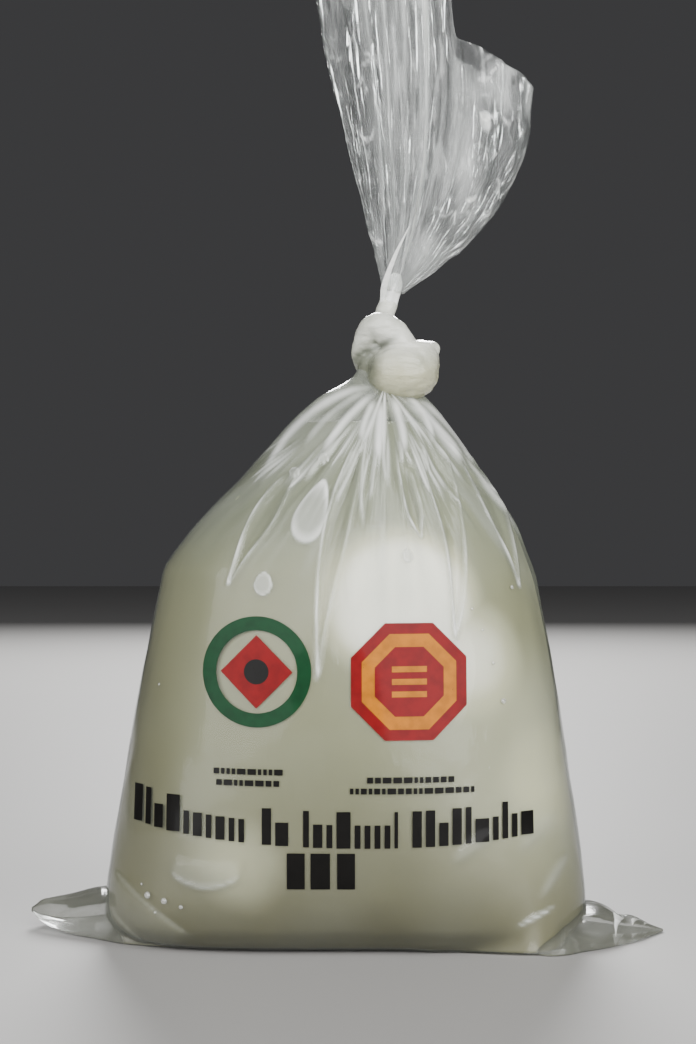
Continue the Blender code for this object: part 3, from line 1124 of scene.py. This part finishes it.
def rope_shape(sides, rings, route, radii, flatten=1.0):
    """A tube along a smooth curve through the route's points."""
    stations = [(i, *point) for i, point in enumerate(route)]
    sizes = [(i, radius) for i, radius in enumerate(radii)]
    last = len(route) - 1

    def place(angle, share):
        at = share * last
        centre = Vector(between(stations, at))
        ahead = Vector(between(stations, min(at + 0.05, last)))
        behind = Vector(between(stations, max(at - 0.05, 0)))
        along = (ahead - behind).normalized()
        across = along.cross(Vector((0, 1, 0))).normalized()
        outward = across * math.cos(angle) + along.cross(across) * math.sin(angle) * flatten
        return centre + outward * between(sizes, at)[0]

    return tube_shape(sides, rings, place)


def make_knot(colours):
    """Masses and strands are joined, given one skin and drawn tight."""
    shape = bmesh.new()
    for centre, radii in KNOT_MASSES:
        made = bmesh.ops.create_uvsphere(shape, u_segments=40, v_segments=24, radius=1)
        bmesh.ops.scale(shape, vec=radii, verts=made["verts"])
        bmesh.ops.translate(shape, vec=centre, verts=made["verts"])
    neck_root = [(point, radius) for point, radius in zip(NECK_ROUTE[:3], NECK_RADII[:3])]
    for strand in (UPPER_STRAND, FRONT_STRAND, neck_root):
        route, radii = zip(*strand)
        rope = rope_shape(28, 72, route, radii)
        part = bpy.data.meshes.new("strand")
        rope.to_mesh(part)
        rope.free()
        shape.from_mesh(part)
        bpy.data.meshes.remove(part)
    knot = as_object("knot", shape)
    skin = knot.modifiers.new("one skin", "REMESH")
    skin.mode = "VOXEL"
    skin.voxel_size = KNOT_VOXEL
    soften = knot.modifiers.new("drawn tight", "SMOOTH")
    soften.factor = 0.5
    soften.iterations = 7
    settle(knot)
    mesh = knot.data
    points = points_of(mesh)
    from_corner = points - np.array(KNOT_CORNER)
    pull = np.exp(-((np.linalg.norm(from_corner, axis=1) / CORNER_PULL_WIDTH) ** 2))
    away = from_corner + np.array(CORNER_PULL)
    points += away / np.linalg.norm(away, axis=1)[:, None] * (CORNER_PULL_LENGTH * pull)[:, None]
    mesh.vertices.foreach_set("co", points.ravel())
    mesh.update()
    # Painted shade: darker in hollows, along a line under the upper strand, and over the lower left.
    crease = ramp(hollows(mesh, CREASE_PASSES) / MM, 0.08, 0.42)
    folds = noise_at(points * np.array((0.5, 1.0, 1.3)), 170.0, 41)
    fine = noise_at(points * np.array((0.6, 1.0, 1.6)), 420.0, 42)
    move_along_normals(mesh, (0.42 * folds + 0.20 * fine) * MM)
    x, y, z = (points / MM).T
    over = z - 159.2 - 0.36 * (x - 3.5)
    line = np.exp(-((over / 1.25) ** 2)) * ramp(x, 15.5, 11.0) * ramp(y, -1.0, -3.0)
    under = ramp(x, 11.5, 6.5) * ramp(over, 1.6, -0.8) * 0.90
    add_attribute(mesh, "crease", np.maximum.reduce((crease, line, under)))
    mesh.materials.clear()
    mesh.materials.append(knot_material("gathered_film", colours, colours.knot, colours.knot_shade))
    mesh.shade_smooth()
    return knot


def make_neck(colours):
    """The rolled film above the knot, and the folded edge that stands up from it as a point."""
    roll = rope_shape(40, 70, NECK_ROUTE[1:], NECK_RADII[1:], 0.8)
    groove, turns, lean, foot = NECK_GROOVES
    for vert in roll.verts:
        vert.co.y += groove * math.sin(turns * (vert.co.x - lean * (vert.co.z - foot)))
    material = knot_material("rolled_film", colours, colours.neck, [0.90 * c for c in colours.neck])
    neck = as_object("rolled_neck", roll, material)
    settle(neck)
    blade = bmesh.new()
    bmesh.ops.create_cone(blade, cap_ends=True, segments=4, radius1=1, radius2=0.06, depth=1)
    tall = [e for e in blade.edges if abs(e.verts[0].co.z - e.verts[1].co.z) > 0.5]
    bmesh.ops.subdivide_edges(blade, edges=tall, cuts=20)
    for vert in blade.verts:
        share = vert.co.z + 0.5
        middle = Vector(between(evenly(BLADE_ROUTE), share))
        swell = 0.35 + 0.65 * min(share / 0.25, 1.0)
        wide, deep = vert.co.x * BLADE_WIDTH * swell, vert.co.y * BLADE_DEPTH * swell
        vert.co = middle + Vector((wide, deep, -wide * 0.4))
    bmesh.ops.recalc_face_normals(blade, faces=blade.faces)
    point = as_object("film_point", blade, material)
    settle(point)
    point.data.set_sharp_from_angle(angle=math.radians(50))


def top_edges(share):
    """Left and right edge of the open top, each x and z, at this share of its height."""
    return between(evenly(LEFT_EDGE), share), between(evenly(RIGHT_EDGE), share)


def band_folds(across, share, shift):
    """Rise in mm and whiteness of the band's folds. Takes numbers or arrays."""
    rise = white = 0.0
    for at_neck, at_rim, width, lift, brightness in BAND_FOLDS:
        middle = at_neck + (at_rim - at_neck) * share**0.6 + 0.008 * np.sin(9 * share + 40 * at_neck)
        crest = np.exp(-(((across + shift - middle) / width) ** 2))
        rise = rise + lift * crest * (0.75 + 0.25 * np.sin(14 * share + 70 * at_neck))
        patchy = 0.8 + 0.2 * np.sin(11 * share + 50 * at_neck)
        white = np.maximum(white, brightness * crest * patchy)
    return rise, white


def top_fold(across, share, back):
    """Folds of the open top, in metres: tight in the middle band, wide at left, few at right."""
    turn = 2 * math.pi * across
    shift = 1.7 if back else 0.0
    left = 1 - ramp(across, 0.16, 0.30)
    wide = 0.0009 * math.sin(6 * turn + shift + 2 * math.sin(5 * share)) * left
    band, _ = band_folds(across, share, BACK_FOLD_SHIFT if back else 0.0)
    lobe = ramp(across, 0.60, 0.72)
    soft = 0.0006 * math.sin(9 * turn + 3 * share + shift)
    crease = across - 0.86 + 0.25 * (share - 0.5)
    soft -= 0.0014 * math.exp(-((crease / 0.030) ** 2))
    return wide + band * MM + lobe * soft


def top_relief(points, across, share):
    """Crumples of the open top in mm, and how white it is: dull folds, bright creases that are
    partly painted glints, windows.
    """
    stretched = points * np.array((1.0, 1.0, 0.45))
    front = points[:, 1] < NECK_DEPTH
    along = np.stack((across * 11 + front * 40, share * 3.0, np.zeros(len(points))), axis=1)
    crush = 1 - 2.6 * np.abs(noise_at(stretched, 105.0, 5))
    pulled = noise_at(along * (1.6, 1.0, 1.0), 1.0, 9)
    drawn = 1 - 2.6 * np.abs(noise_at(along * (2.8, 1.5, 1.0), 1.0, 6))
    fine = 1 - 2.6 * np.abs(noise_at(points * np.array((1.0, 1.0, 0.5)), 270.0, 7))
    free = ramp(share, 0.04, 0.30)
    left = ramp(across, 0.30, 0.18)
    lobe = ramp(across, 0.60, 0.70)
    crumple = 0.26 * drawn + (0.26 * crush + 0.18 * fine) * (0.35 + 0.75 * left + 1.00 * lobe)
    x, _, z = (points / MM).T
    cloud = noise_at(points * np.array((1.0, 1.0, 0.7)), 52.0, 12)
    speck = noise_at(points, 190.0, 13)
    band = (1 - left) * (1 - lobe)
    milk = band * (0.010 + 0.20 * ramp(drawn, 0.74, 1.0) + 0.10 * ramp(pulled, 0.05, 0.45))
    milk += lobe * (0.01 + 0.24 * ramp(cloud, 0.04, 0.34) + 0.05 * ramp(drawn, 0.7, 1.0))
    milk += left * (0.002 + 0.05 * ramp(drawn, 0.80, 1.0))
    # Whiter crease lines, partly real whitening and partly painted glints.
    lines = 0.60 * ramp(crush, 0.88, 1.0) + 0.60 * ramp(fine, 0.86, 1.0)
    milk += lines * ramp(speck, -0.05, 0.30) * free * (0.10 + 0.60 * left + 0.95 * lobe)
    milk += 0.10 * ramp(z, 206, 182)
    milk *= np.where(front, 1.0, 0.45)
    _, white = band_folds(across, share, np.where(front, 0.0, BACK_FOLD_SHIFT))
    milk = np.maximum(milk, white * np.where(front, 0.80, 0.20))
    for centre_x, centre_z, half_width, half_height, clear in CLEAR_PATCHES:
        away = np.hypot((x - centre_x) / half_width, (z - centre_z) / half_height)
        milk *= 1 - clear * ramp(away, 1.25, 0.7)
    return crumple * free, milk


def make_open_top(sizes, colours):
    """The fanned film above the knot: a flattened tube, tight in its middle, wide at its right."""
    edges = {}
    made_at = []

    def place(angle, share):
        key = round(share, 5)
        if key not in edges:
            edges[key] = top_edges(share)
        (left_x, left_z), (right_x, right_z) = edges[key]
        across = 0.5 + 0.5 * math.cos(angle)
        made_at.append((across, share))
        x = left_x + (right_x - left_x) * across
        z = left_z + (right_z - left_z) * across
        band = 1 - ramp(across, BAND_END, LOBE_START)
        z += BAND_RISE * share * band * math.sin(math.pi * across)
        depth = EDGE_DEPTH + (BAND_DEPTH - EDGE_DEPTH) * ramp(across, 0.0, 0.35)
        depth += (LOBE_DEPTH - BAND_DEPTH) * ramp(across, 0.5, 0.8)
        opened = ramp(share, 0.0, 0.55)
        bulge = math.sin(angle)
        folds = top_fold(across, share, bulge > 0) * min(1.0, 4 * abs(bulge))
        y = bulge * (NECK_RADIUS + (depth - NECK_RADIUS) * opened) + folds * opened
        return Vector((x, NECK_DEPTH + y, z))

    shape = open_tube_shape(TOP_SIDES, TOP_RINGS, place)
    material = film_material("top_film", colours.top, 0.0006, 0.01, 0.08, 0.0, 0.3, 1.24)
    top = as_object("open_top", shape, material)
    crumple, milk = top_relief(points_of(top.data), *np.array(made_at).T)
    move_along_normals(top.data, crumple * MM * sizes.crumple)
    add_attribute(top.data, "milk", milk)
    wall = top.modifiers.new("film", "SOLIDIFY")
    wall.thickness = TOP_WALL
    wall.offset = 0
    return settle(top)


def corner_shape(side, sides, rings, inset, reach_of):
    """A flattened pocket whose front edge lies on the ground, as far out as reach_of says."""

    def place(angle, share):
        reach = reach_of(share, math.cos(angle))
        front, back, foot, top, sharpness = between(CORNERS[side], reach)
        rise = max(math.sin(angle), 0.0) ** sharpness
        height = foot + max(top - foot - inset, 0.2) * rise
        y = (front + back) / 2 + ((back - front) / 2 - inset) * math.cos(angle)
        return Vector((side * reach, y, height)) * MM

    return tube_shape(sides, rings, place)


def make_corner(side, name, material):
    """One bottom corner of the bag, drawn out to its tip."""
    stations = CORNERS[side]
    inner, outer = stations[0][0], stations[-1][0]
    shape = corner_shape(
        side, CORNER_SIDES, CORNER_RINGS, 0.0, lambda share, _: inner + (outer - inner) * share
    )
    corner = as_object(name, shape, material)
    points = points_of(corner.data)
    x, y, z = (points / MM).T
    reach = np.abs(x)
    reaches, fronts, backs = np.array(stations).T[:3]
    front, back = np.interp(reach, reaches, fronts), np.interp(reach, reaches, backs)
    middle = (front + back) / 2
    up_front = (y - front) / (middle - front)
    from_tip = outer - reach
    spoke = np.degrees(np.arctan2(y - middle, from_tip + 3))
    creases = 1 - 2.4 * np.abs(noise_at(points * np.array((0.5, 1.0, 1.0)), 95.0, 20 + side))
    upper = ramp(z, 0.6, 1.8)
    relief = 0.20 * creases
    milk = 0.03 + 0.10 * ramp(creases, 0.80, 1.0)
    for turn, width, rise, white in CORNER_SPOKES[side]:
        crest = np.exp(-(((spoke - turn) / width) ** 2)) * ramp(from_tip, 2, 8)
        relief += rise * crest
        milk += white * crest
    for at_front, at_ridge, width, start, end, white in CORNER_FACET_HIGHLIGHTS[side]:
        share = np.clip((up_front - start) / (end - start), 0, 1)
        left = at_front + (at_ridge - at_front) * up_front
        beyond = reach - left
        wide = 0.25 + width * share
        on = ramp(beyond, -0.25, 0.1) * ramp(beyond, wide + 0.15, wide - 0.2)
        on *= ramp(up_front, start - 0.04, start + 0.04) * ramp(up_front, end + 0.05, end - 0.02)
        relief += FACET_HEIGHT * on * share
        # Painted highlight on the facet.
        milk += white * on * (0.65 + 0.35 * ramp(beyond, wide, 0.0))
    milk += 0.20 * ramp(from_tip, 7, 2)
    move_along_normals(corner.data, relief * upper * MM)
    add_attribute(corner.data, "milk", milk)
    return settle(corner)


def make_corners(colours):
    film = film_material("corner_film", colours.corner, 0.0006, 0.34, 0.08, 0.30, 0.1)
    make_corner(-1, "left_corner", film)
    make_corner(1, "right_corner", film)


def make_corner_whey(material):
    inner = CORNERS[-1][0][0]
    end, lean, inset = CORNER_WHEY

    def reach_of(share, cosine):
        return inner + (end - lean * max(-cosine, 0.0) - inner) * share

    whey = as_object("left_corner_whey", corner_shape(-1, 120, 60, inset, reach_of), material)
    return settle(whey)


def front_at(film_tree, x, z):
    """Where the front of the film is at x and z, and its normal there."""
    ahead = Vector((x, 2 * CAD_BOX[0][1], z))
    hit, normal, _, _ = film_tree.ray_cast(ahead, Vector((0, 1, 0)))
    if hit is None:
        raise RuntimeError("the print or a bead runs off the film")
    return hit, normal


def make_beads(film_tree):
    """Flattened beads of air and water, all one piece."""
    shape = bmesh.new()
    for x, z, radius in BEADS:
        hit, normal = front_at(film_tree, x * MM, z * MM)
        made = bmesh.ops.create_icosphere(shape, subdivisions=3, radius=radius * MM)
        turn = normal.to_track_quat("Z", "Y")
        for vert in made["verts"]:
            vert.co = hit + turn @ (vert.co * Vector(BEAD_FLATNESS))
    settle(as_object("air_beads", shape, bead_material()))


def stand_up(shape, turn=0.0):
    """Turns a flat shape in its own plane, and stands it up in the XZ plane."""
    cos, sin = math.cos(turn), math.sin(turn)
    for vert in shape.verts:
        x, y = vert.co.x, vert.co.y
        vert.co = Vector((x * cos - y * sin, 0, x * sin + y * cos))
    return shape


def disc_outline(sides, radius, turn=0.0):
    """A filled polygon in the XZ plane, cut into small triangles."""
    shape = bmesh.new()
    bmesh.ops.create_circle(shape, cap_ends=True, cap_tris=True, segments=sides, radius=radius)
    cuts = 7 if sides < 12 else 3
    bmesh.ops.subdivide_edges(shape, edges=shape.edges[:], cuts=cuts, use_grid_fill=True)
    return stand_up(shape, turn)


def ring_outline(sides, outer, inner):
    """A flat ring in the XZ plane."""
    shape = bmesh.new()
    for radius in (outer, (outer + inner) / 2, inner):
        bmesh.ops.create_circle(shape, segments=sides, radius=radius)
    loops = shape.edges[:]
    bmesh.ops.bridge_loops(shape, edges=loops[: 2 * sides])
    bmesh.ops.bridge_loops(shape, edges=loops[sides:])
    return stand_up(shape)


def block_outline(width, height):
    """A flat block in the XZ plane."""
    shape = bmesh.new()
    bmesh.ops.create_grid(shape, x_segments=4, y_segments=6, size=0.5)
    bmesh.ops.scale(shape, vec=(width, height, 1), verts=shape.verts)
    return stand_up(shape)


def print_on(name, film_tree, parts, layer, material):
    """Lays flat outlines on the front of the film as one piece of ink."""
    whole = bmesh.new()
    for outline, centre_x, centre_z in parts:
        for vert in outline.verts:
            x, z = vert.co.x + centre_x * MM, vert.co.z + centre_z * MM
            hit, normal = front_at(film_tree, x, z)
            vert.co = hit + normal * (INK_LIFT + INK_LAYER * layer)
        mesh = bpy.data.meshes.new(name)
        outline.to_mesh(mesh)
        outline.free()
        whole.from_mesh(mesh)
        bpy.data.meshes.remove(mesh)
    whole.normal_update()
    inward = [face for face in whole.faces if face.normal.y > 0]
    bmesh.ops.reverse_faces(whole, faces=inward)
    ink = as_object(name, whole, material)
    body = ink.modifiers.new("ink layer", "SOLIDIFY")
    body.thickness = INK_LAYER * 0.6
    body.offset = 0
    settle(ink)
    ink.data.set_sharp_from_angle(angle=math.radians(40))


def bars_between(draw, start, end, widths, gap, heights, foot_of):
    """Upright bars of mixed widths from start to end, in mm."""
    bars = []
    at = start
    while at < end - min(widths) / 2:
        width = min(draw.choice(widths), end - at)
        middle = at + width / 2
        tall = next(heights)
        shape = block_outline(width * MM, tall * MM)
        bars.append((shape, middle, foot_of(middle) + tall / 2))
        at += width + gap
    return bars


def block_rows():
    """A sagging row of upright bars, three blocks under it, and four short rows above it."""
    draw = np.random.RandomState(5)
    rows = []

    def sagging_foot(x):
        return ROW_FOOT + ROW_SAG * (x - ROW_MIDDLE) ** 2

    for start, end in BIG_ROW:
        heights = iter([BIG_HEIGHT, *draw.choice(ROW_HEIGHTS, 40)])
        rows += bars_between(draw, start, end, BAR_WIDTHS, BAR_GAP, heights, sagging_foot)
    for middle, width in LOW_BLOCKS:
        rows.append((block_outline(width * MM, BIG_HEIGHT * MM), middle, LOW_MIDDLE))
    for start, end, foot in SMALL_ROWS:
        heights = itertools.repeat(SMALL_HEIGHT)
        rows += bars_between(draw, start, end, SMALL_WIDTHS, SMALL_GAP, heights, lambda x: foot)
    return rows


def make_print(film_tree, colours):
    """Two plain marks, a ring and an octagon, and rows of upright blocks."""
    green = ink_material("green_ink", colours.ink_green)
    red = ink_material("red_ink", colours.ink_red)
    amber = ink_material("amber_ink", colours.ink_amber)
    black = ink_material("black_ink", colours.ink_black)
    ring = ring_outline(96, *(radius * MM for radius in RING_RADII))
    lozenge = disc_outline(4, LOZENGE_RADIUS * MM)
    dot = disc_outline(48, DOT_RADIUS * MM)
    field, band, heart = (disc_outline(8, radius * MM, math.pi / 8) for radius in SEAL_RADII)
    for name, outline, mark, layer, ink in (
        ("mark_ring", ring, LEFT_MARK, 0, green),
        ("mark_lozenge", lozenge, LEFT_MARK, 0, red),
        ("mark_dot", dot, LEFT_MARK, 1, black),
        ("seal_field", field, RIGHT_MARK, 0, red),
        ("seal_band", band, RIGHT_MARK, 1, amber),
        ("seal_heart", heart, RIGHT_MARK, 2, red),
    ):
        print_on(name, film_tree, [(outline, *mark)], layer, ink)
    wide, tall = (size * MM for size in SEAL_BAR)
    x, z = RIGHT_MARK
    bars = [(block_outline(wide, tall), x, z + step * SEAL_BAR_STEP) for step in (-1, 0, 1)]
    print_on("seal_bars", film_tree, bars, 3, amber)
    print_on("block_rows", film_tree, block_rows(), 0, black)


def make_floor(look):
    shape = bmesh.new()
    bmesh.ops.create_grid(shape, x_segments=1, y_segments=1, size=FLOOR_REACH)
    floor = as_object("floor", shape, floor_material(look.floor))


def make_light(name, place, aim, size, power):
    lamp = bpy.data.lights.new(name, "AREA")
    lamp.shape = "ELLIPSE"
    lamp.size, lamp.size_y = size
    lamp.energy = power
    made = bpy.data.objects.new(name, lamp)
    made.location = place
    made.rotation_euler = (Vector(aim) - Vector(place)).to_track_quat("-Z", "Y").to_euler()
    bpy.context.scene.collection.objects.link(made)


def make_camera(look):
    lens = bpy.data.cameras.new("camera")
    lens.lens = look.lens
    lens.sensor_width = 36.0
    lens.clip_start = 0.01
    camera = bpy.data.objects.new("camera", lens)
    camera.location = (CAMERA_X, -look.camera_distance, look.camera_height)
    camera.rotation_euler = (math.radians(90), 0, 0)
    bpy.context.scene.collection.objects.link(camera)
    bpy.context.scene.camera = camera


def distance_property(name, description, default, least, most):
    return FloatProperty(
        name=name,
        description=description,
        default=default,
        min=least,
        max=most,
        subtype="DISTANCE",
        unit="LENGTH",
    )


def factor_property(name, description, default, most=1.0):
    return FloatProperty(
        name=name, description=description, default=default, min=0.0, max=most, subtype="FACTOR"
    )


def colour_property(name, description, default):
    return FloatVectorProperty(
        name=name,
        description=description,
        default=default,
        subtype="COLOR",
        size=3,
        min=0.0,
        max=1.0,
    )


class BagSizes(bpy.types.PropertyGroup):
    """Sizes of the bag's film and filling"""

    relief_room: distance_property(
        "Relief room", "Room for folds between the smooth film and the solid", 0.0007, 0.0, 0.003
    )
    whey_gap: distance_property(
        "Film to whey", "How far the whey's skin lies behind the film", 0.0006, 0.0001, 0.002
    )
    ball_radius: distance_property(
        "Ball radius", "Radius of a cheese ball of the usual size", 0.0273, 0.01, 0.04
    )
    crumple: factor_property(
        "Crumple", "Depth of the open top's crumples, against the usual", 1.0, 2.0
    )


class BagColours(bpy.types.PropertyGroup):
    """Colours of the film, the whey, the cheese and the inks"""

    film: colour_property("Film", "Colour of the film's haze", (0.60, 0.64, 0.56))
    top: colour_property("Open top", "Colour of the open top's haze", (0.80, 0.82, 0.81))
    corner: colour_property("Corners", "Colour of the haze in the corners", (0.235, 0.24, 0.20))
    # Also the painted shade towards the whey's left edge.
    whey_low: colour_property("Whey, low", "Whey near the base", (0.178, 0.167, 0.088))
    whey_high: colour_property("Whey, high", "Whey near the knot", (0.286, 0.288, 0.164))
    # Painted light on the whey's lit right side.
    whey_painted_lit_side: colour_property("Whey, lit side", "Whey on the lighter side", (0.455, 0.455, 0.325))
    whey_top: colour_property(
        "Whey, top", "Colour of the whey's uppermost part, below the pleats", (0.245, 0.265, 0.185)
    )
    whey_corner: colour_property(
        "Whey, corner", "Thin whey in a bottom corner", (0.140, 0.130, 0.080)
    )
    veiled: colour_property("Veiled cheese", "Cheese seen through thin whey", (0.59, 0.585, 0.41))
    cheese: colour_property("Cheese", "White of the cheese", (0.94, 0.93, 0.82))
    cheese_shade: colour_property("Cheese, shade", "Mottled shade of the cheese", (0.80, 0.79, 0.70))
    neck: colour_property("Neck", "Film rolled tight above the knot", (0.94, 0.95, 0.92))
    knot: colour_property("Knot", "Gathered film", (0.72, 0.73, 0.655))
    knot_shade: colour_property(
        "Knot, shade", "Duller places of the gathered film", (0.52, 0.54, 0.46)
    )
    # Painted shade under the knot, warm in tone.
    knot_warm_underside_shade: colour_property("Knot, underside", "Warm shade under the knot", (0.47, 0.46, 0.30))
    # Painted shade in the knot's creases, under its upper strand and on its lower left.
    knot_painted_shade: colour_property(
        "Knot, creases", "Wet shade in the knot's creases", (0.11, 0.125, 0.09)
    )
    ink_green: colour_property("Green ink", "Green of the print", (0.003, 0.045, 0.014))
    ink_red: colour_property("Red ink", "Red of the print", (0.20, 0.0015, 0.0030))
    ink_amber: colour_property("Amber ink", "Amber of the print", (0.50, 0.165, 0.003))
    ink_black: colour_property("Black ink", "Black of the print", (0.005, 0.0045, 0.004))
    film_haze: factor_property("Film haze", "Least whiteness of the pouch's film", 0.04)
    window_depth: distance_property(
        "Clear depth", "Depth of whey that can be seen through", 0.0030, 0.0005, 0.02
    )
    whey_depth: distance_property(
        "Whey clouding", "Depth of whey that hides most of a ball's white", 0.0100, 0.001, 0.05
    )


class StageLook(bpy.types.PropertyGroup):
    """Floor, light and camera"""

    floor: colour_property("Floor", "Colour of the floor", (0.34, 0.333, 0.325))
    backdrop: colour_property("Backdrop", "Colour of the surroundings", (0.05, 0.05, 0.052))
    lens: FloatProperty(
        name="Lens", description="Focal length in millimetres", default=70.0, min=10.0
    )
    camera_distance: distance_property(
        "Camera distance", "From the camera to the bag's middle", 0.568, 0.1, 10.0
    )
    camera_height: distance_property(
        "Camera height", "Height of the camera above the floor", 0.1128, 0.0, 10.0
    )


class CHEESEBAG_OT_stage(bpy.types.Operator):
    """Add the floor, the soft lights and the camera"""

    bl_idname = "cheesebag.stage"
    bl_label = "Stage"

    def execute(self, context):
        look = context.scene.cheesebag_stage
        make_floor(look)
        make_camera(look)
        world = bpy.data.worlds.new("surroundings")
        context.scene.world = world
        world.use_nodes = True
        background = world.node_tree.nodes["Background"]
        background.inputs["Color"].default_value = (*look.backdrop, 1.0)
        for light in LIGHTS:
            make_light(*light)
        return {"FINISHED"}


class CHEESEBAG_OT_film(bpy.types.Operator):
    """Build the pouch of film with its pleats and bubbles"""

    bl_idname = "cheesebag.film"
    bl_label = "Pouch film"

    def execute(self, context):
        make_film(context.scene.cheesebag_sizes, context.scene.cheesebag_colours)
        return {"FINISHED"}


class CHEESEBAG_OT_filling(bpy.types.Operator):
    """Build the whey and the cheese balls"""

    bl_idname = "cheesebag.filling"
    bl_label = "Whey and cheese"

    def execute(self, context):
        scene = context.scene
        make_whey(scene.cheesebag_sizes, scene.cheesebag_colours)
        make_balls(scene.cheesebag_sizes, scene.cheesebag_colours)
        return {"FINISHED"}


class CHEESEBAG_OT_corners(bpy.types.Operator):
    """Build the two bottom corners"""

    bl_idname = "cheesebag.corners"
    bl_label = "Corners"

    def execute(self, context):
        make_corners(context.scene.cheesebag_colours)
        return {"FINISHED"}


class CHEESEBAG_OT_knot(bpy.types.Operator):
    """Build the knot, the rolled neck and its point"""

    bl_idname = "cheesebag.knot"
    bl_label = "Knot and neck"

    def execute(self, context):
        make_knot(context.scene.cheesebag_colours)
        make_neck(context.scene.cheesebag_colours)
        return {"FINISHED"}


class CHEESEBAG_OT_open_top(bpy.types.Operator):
    """Build the fanned, crumpled film above the knot"""

    bl_idname = "cheesebag.open_top"
    bl_label = "Open top"

    def execute(self, context):
        make_open_top(context.scene.cheesebag_sizes, context.scene.cheesebag_colours)
        return {"FINISHED"}


class CHEESEBAG_OT_print(bpy.types.Operator):
    """Lay the print and the beads on the film"""

    bl_idname = "cheesebag.print"
    bl_label = "Print and beads"

    def execute(self, context):
        film = bpy.data.objects.get("pouch_film")
        if film is None:
            raise RuntimeError("the pouch film isn't built yet")
        shape = bmesh.new()
        shape.from_mesh(film.data)
        tree = BVHTree.FromBMesh(shape)
        make_print(tree, context.scene.cheesebag_colours)
        make_beads(tree)
        shape.free()
        return {"FINISHED"}


class CHEESEBAG_PT_sidebar(bpy.types.Panel):
    """Sizes, colours and the pieces of the bag"""

    bl_idname = "CHEESEBAG_PT_sidebar"
    bl_label = "Cheese Bag"
    bl_space_type = "VIEW_3D"
    bl_region_type = "UI"
    bl_category = "Cheese Bag"

    def draw(self, context):
        for group in (
            context.scene.cheesebag_sizes,
            context.scene.cheesebag_colours,
            context.scene.cheesebag_stage,
        ):
            for name in group.__annotations__:
                self.layout.prop(group, name)
        for operator in OPERATORS:
            self.layout.operator(operator.bl_idname)


OPERATORS = (
    CHEESEBAG_OT_stage,
    CHEESEBAG_OT_film,
    CHEESEBAG_OT_filling,
    CHEESEBAG_OT_corners,
    CHEESEBAG_OT_knot,
    CHEESEBAG_OT_open_top,
    CHEESEBAG_OT_print,
)
GROUPS = {
    "cheesebag_sizes": BagSizes,
    "cheesebag_colours": BagColours,
    "cheesebag_stage": StageLook,
}


def register():
    for made in (*GROUPS.values(), *OPERATORS, CHEESEBAG_PT_sidebar):
        bpy.utils.register_class(made)
    for name, group in GROUPS.items():
        setattr(bpy.types.Scene, name, PointerProperty(type=group))


def unregister():
    for name in GROUPS:
        delattr(bpy.types.Scene, name)
    for made in reversed((*GROUPS.values(), *OPERATORS, CHEESEBAG_PT_sidebar)):
        bpy.utils.unregister_class(made)


def main():
    register()
    bpy.ops.cheesebag.stage()
    bpy.ops.cheesebag.film()
    bpy.ops.cheesebag.filling()
    bpy.ops.cheesebag.corners()
    bpy.ops.cheesebag.knot()
    bpy.ops.cheesebag.open_top()
    bpy.ops.cheesebag.print()


if __name__ == "__main__":
    main()
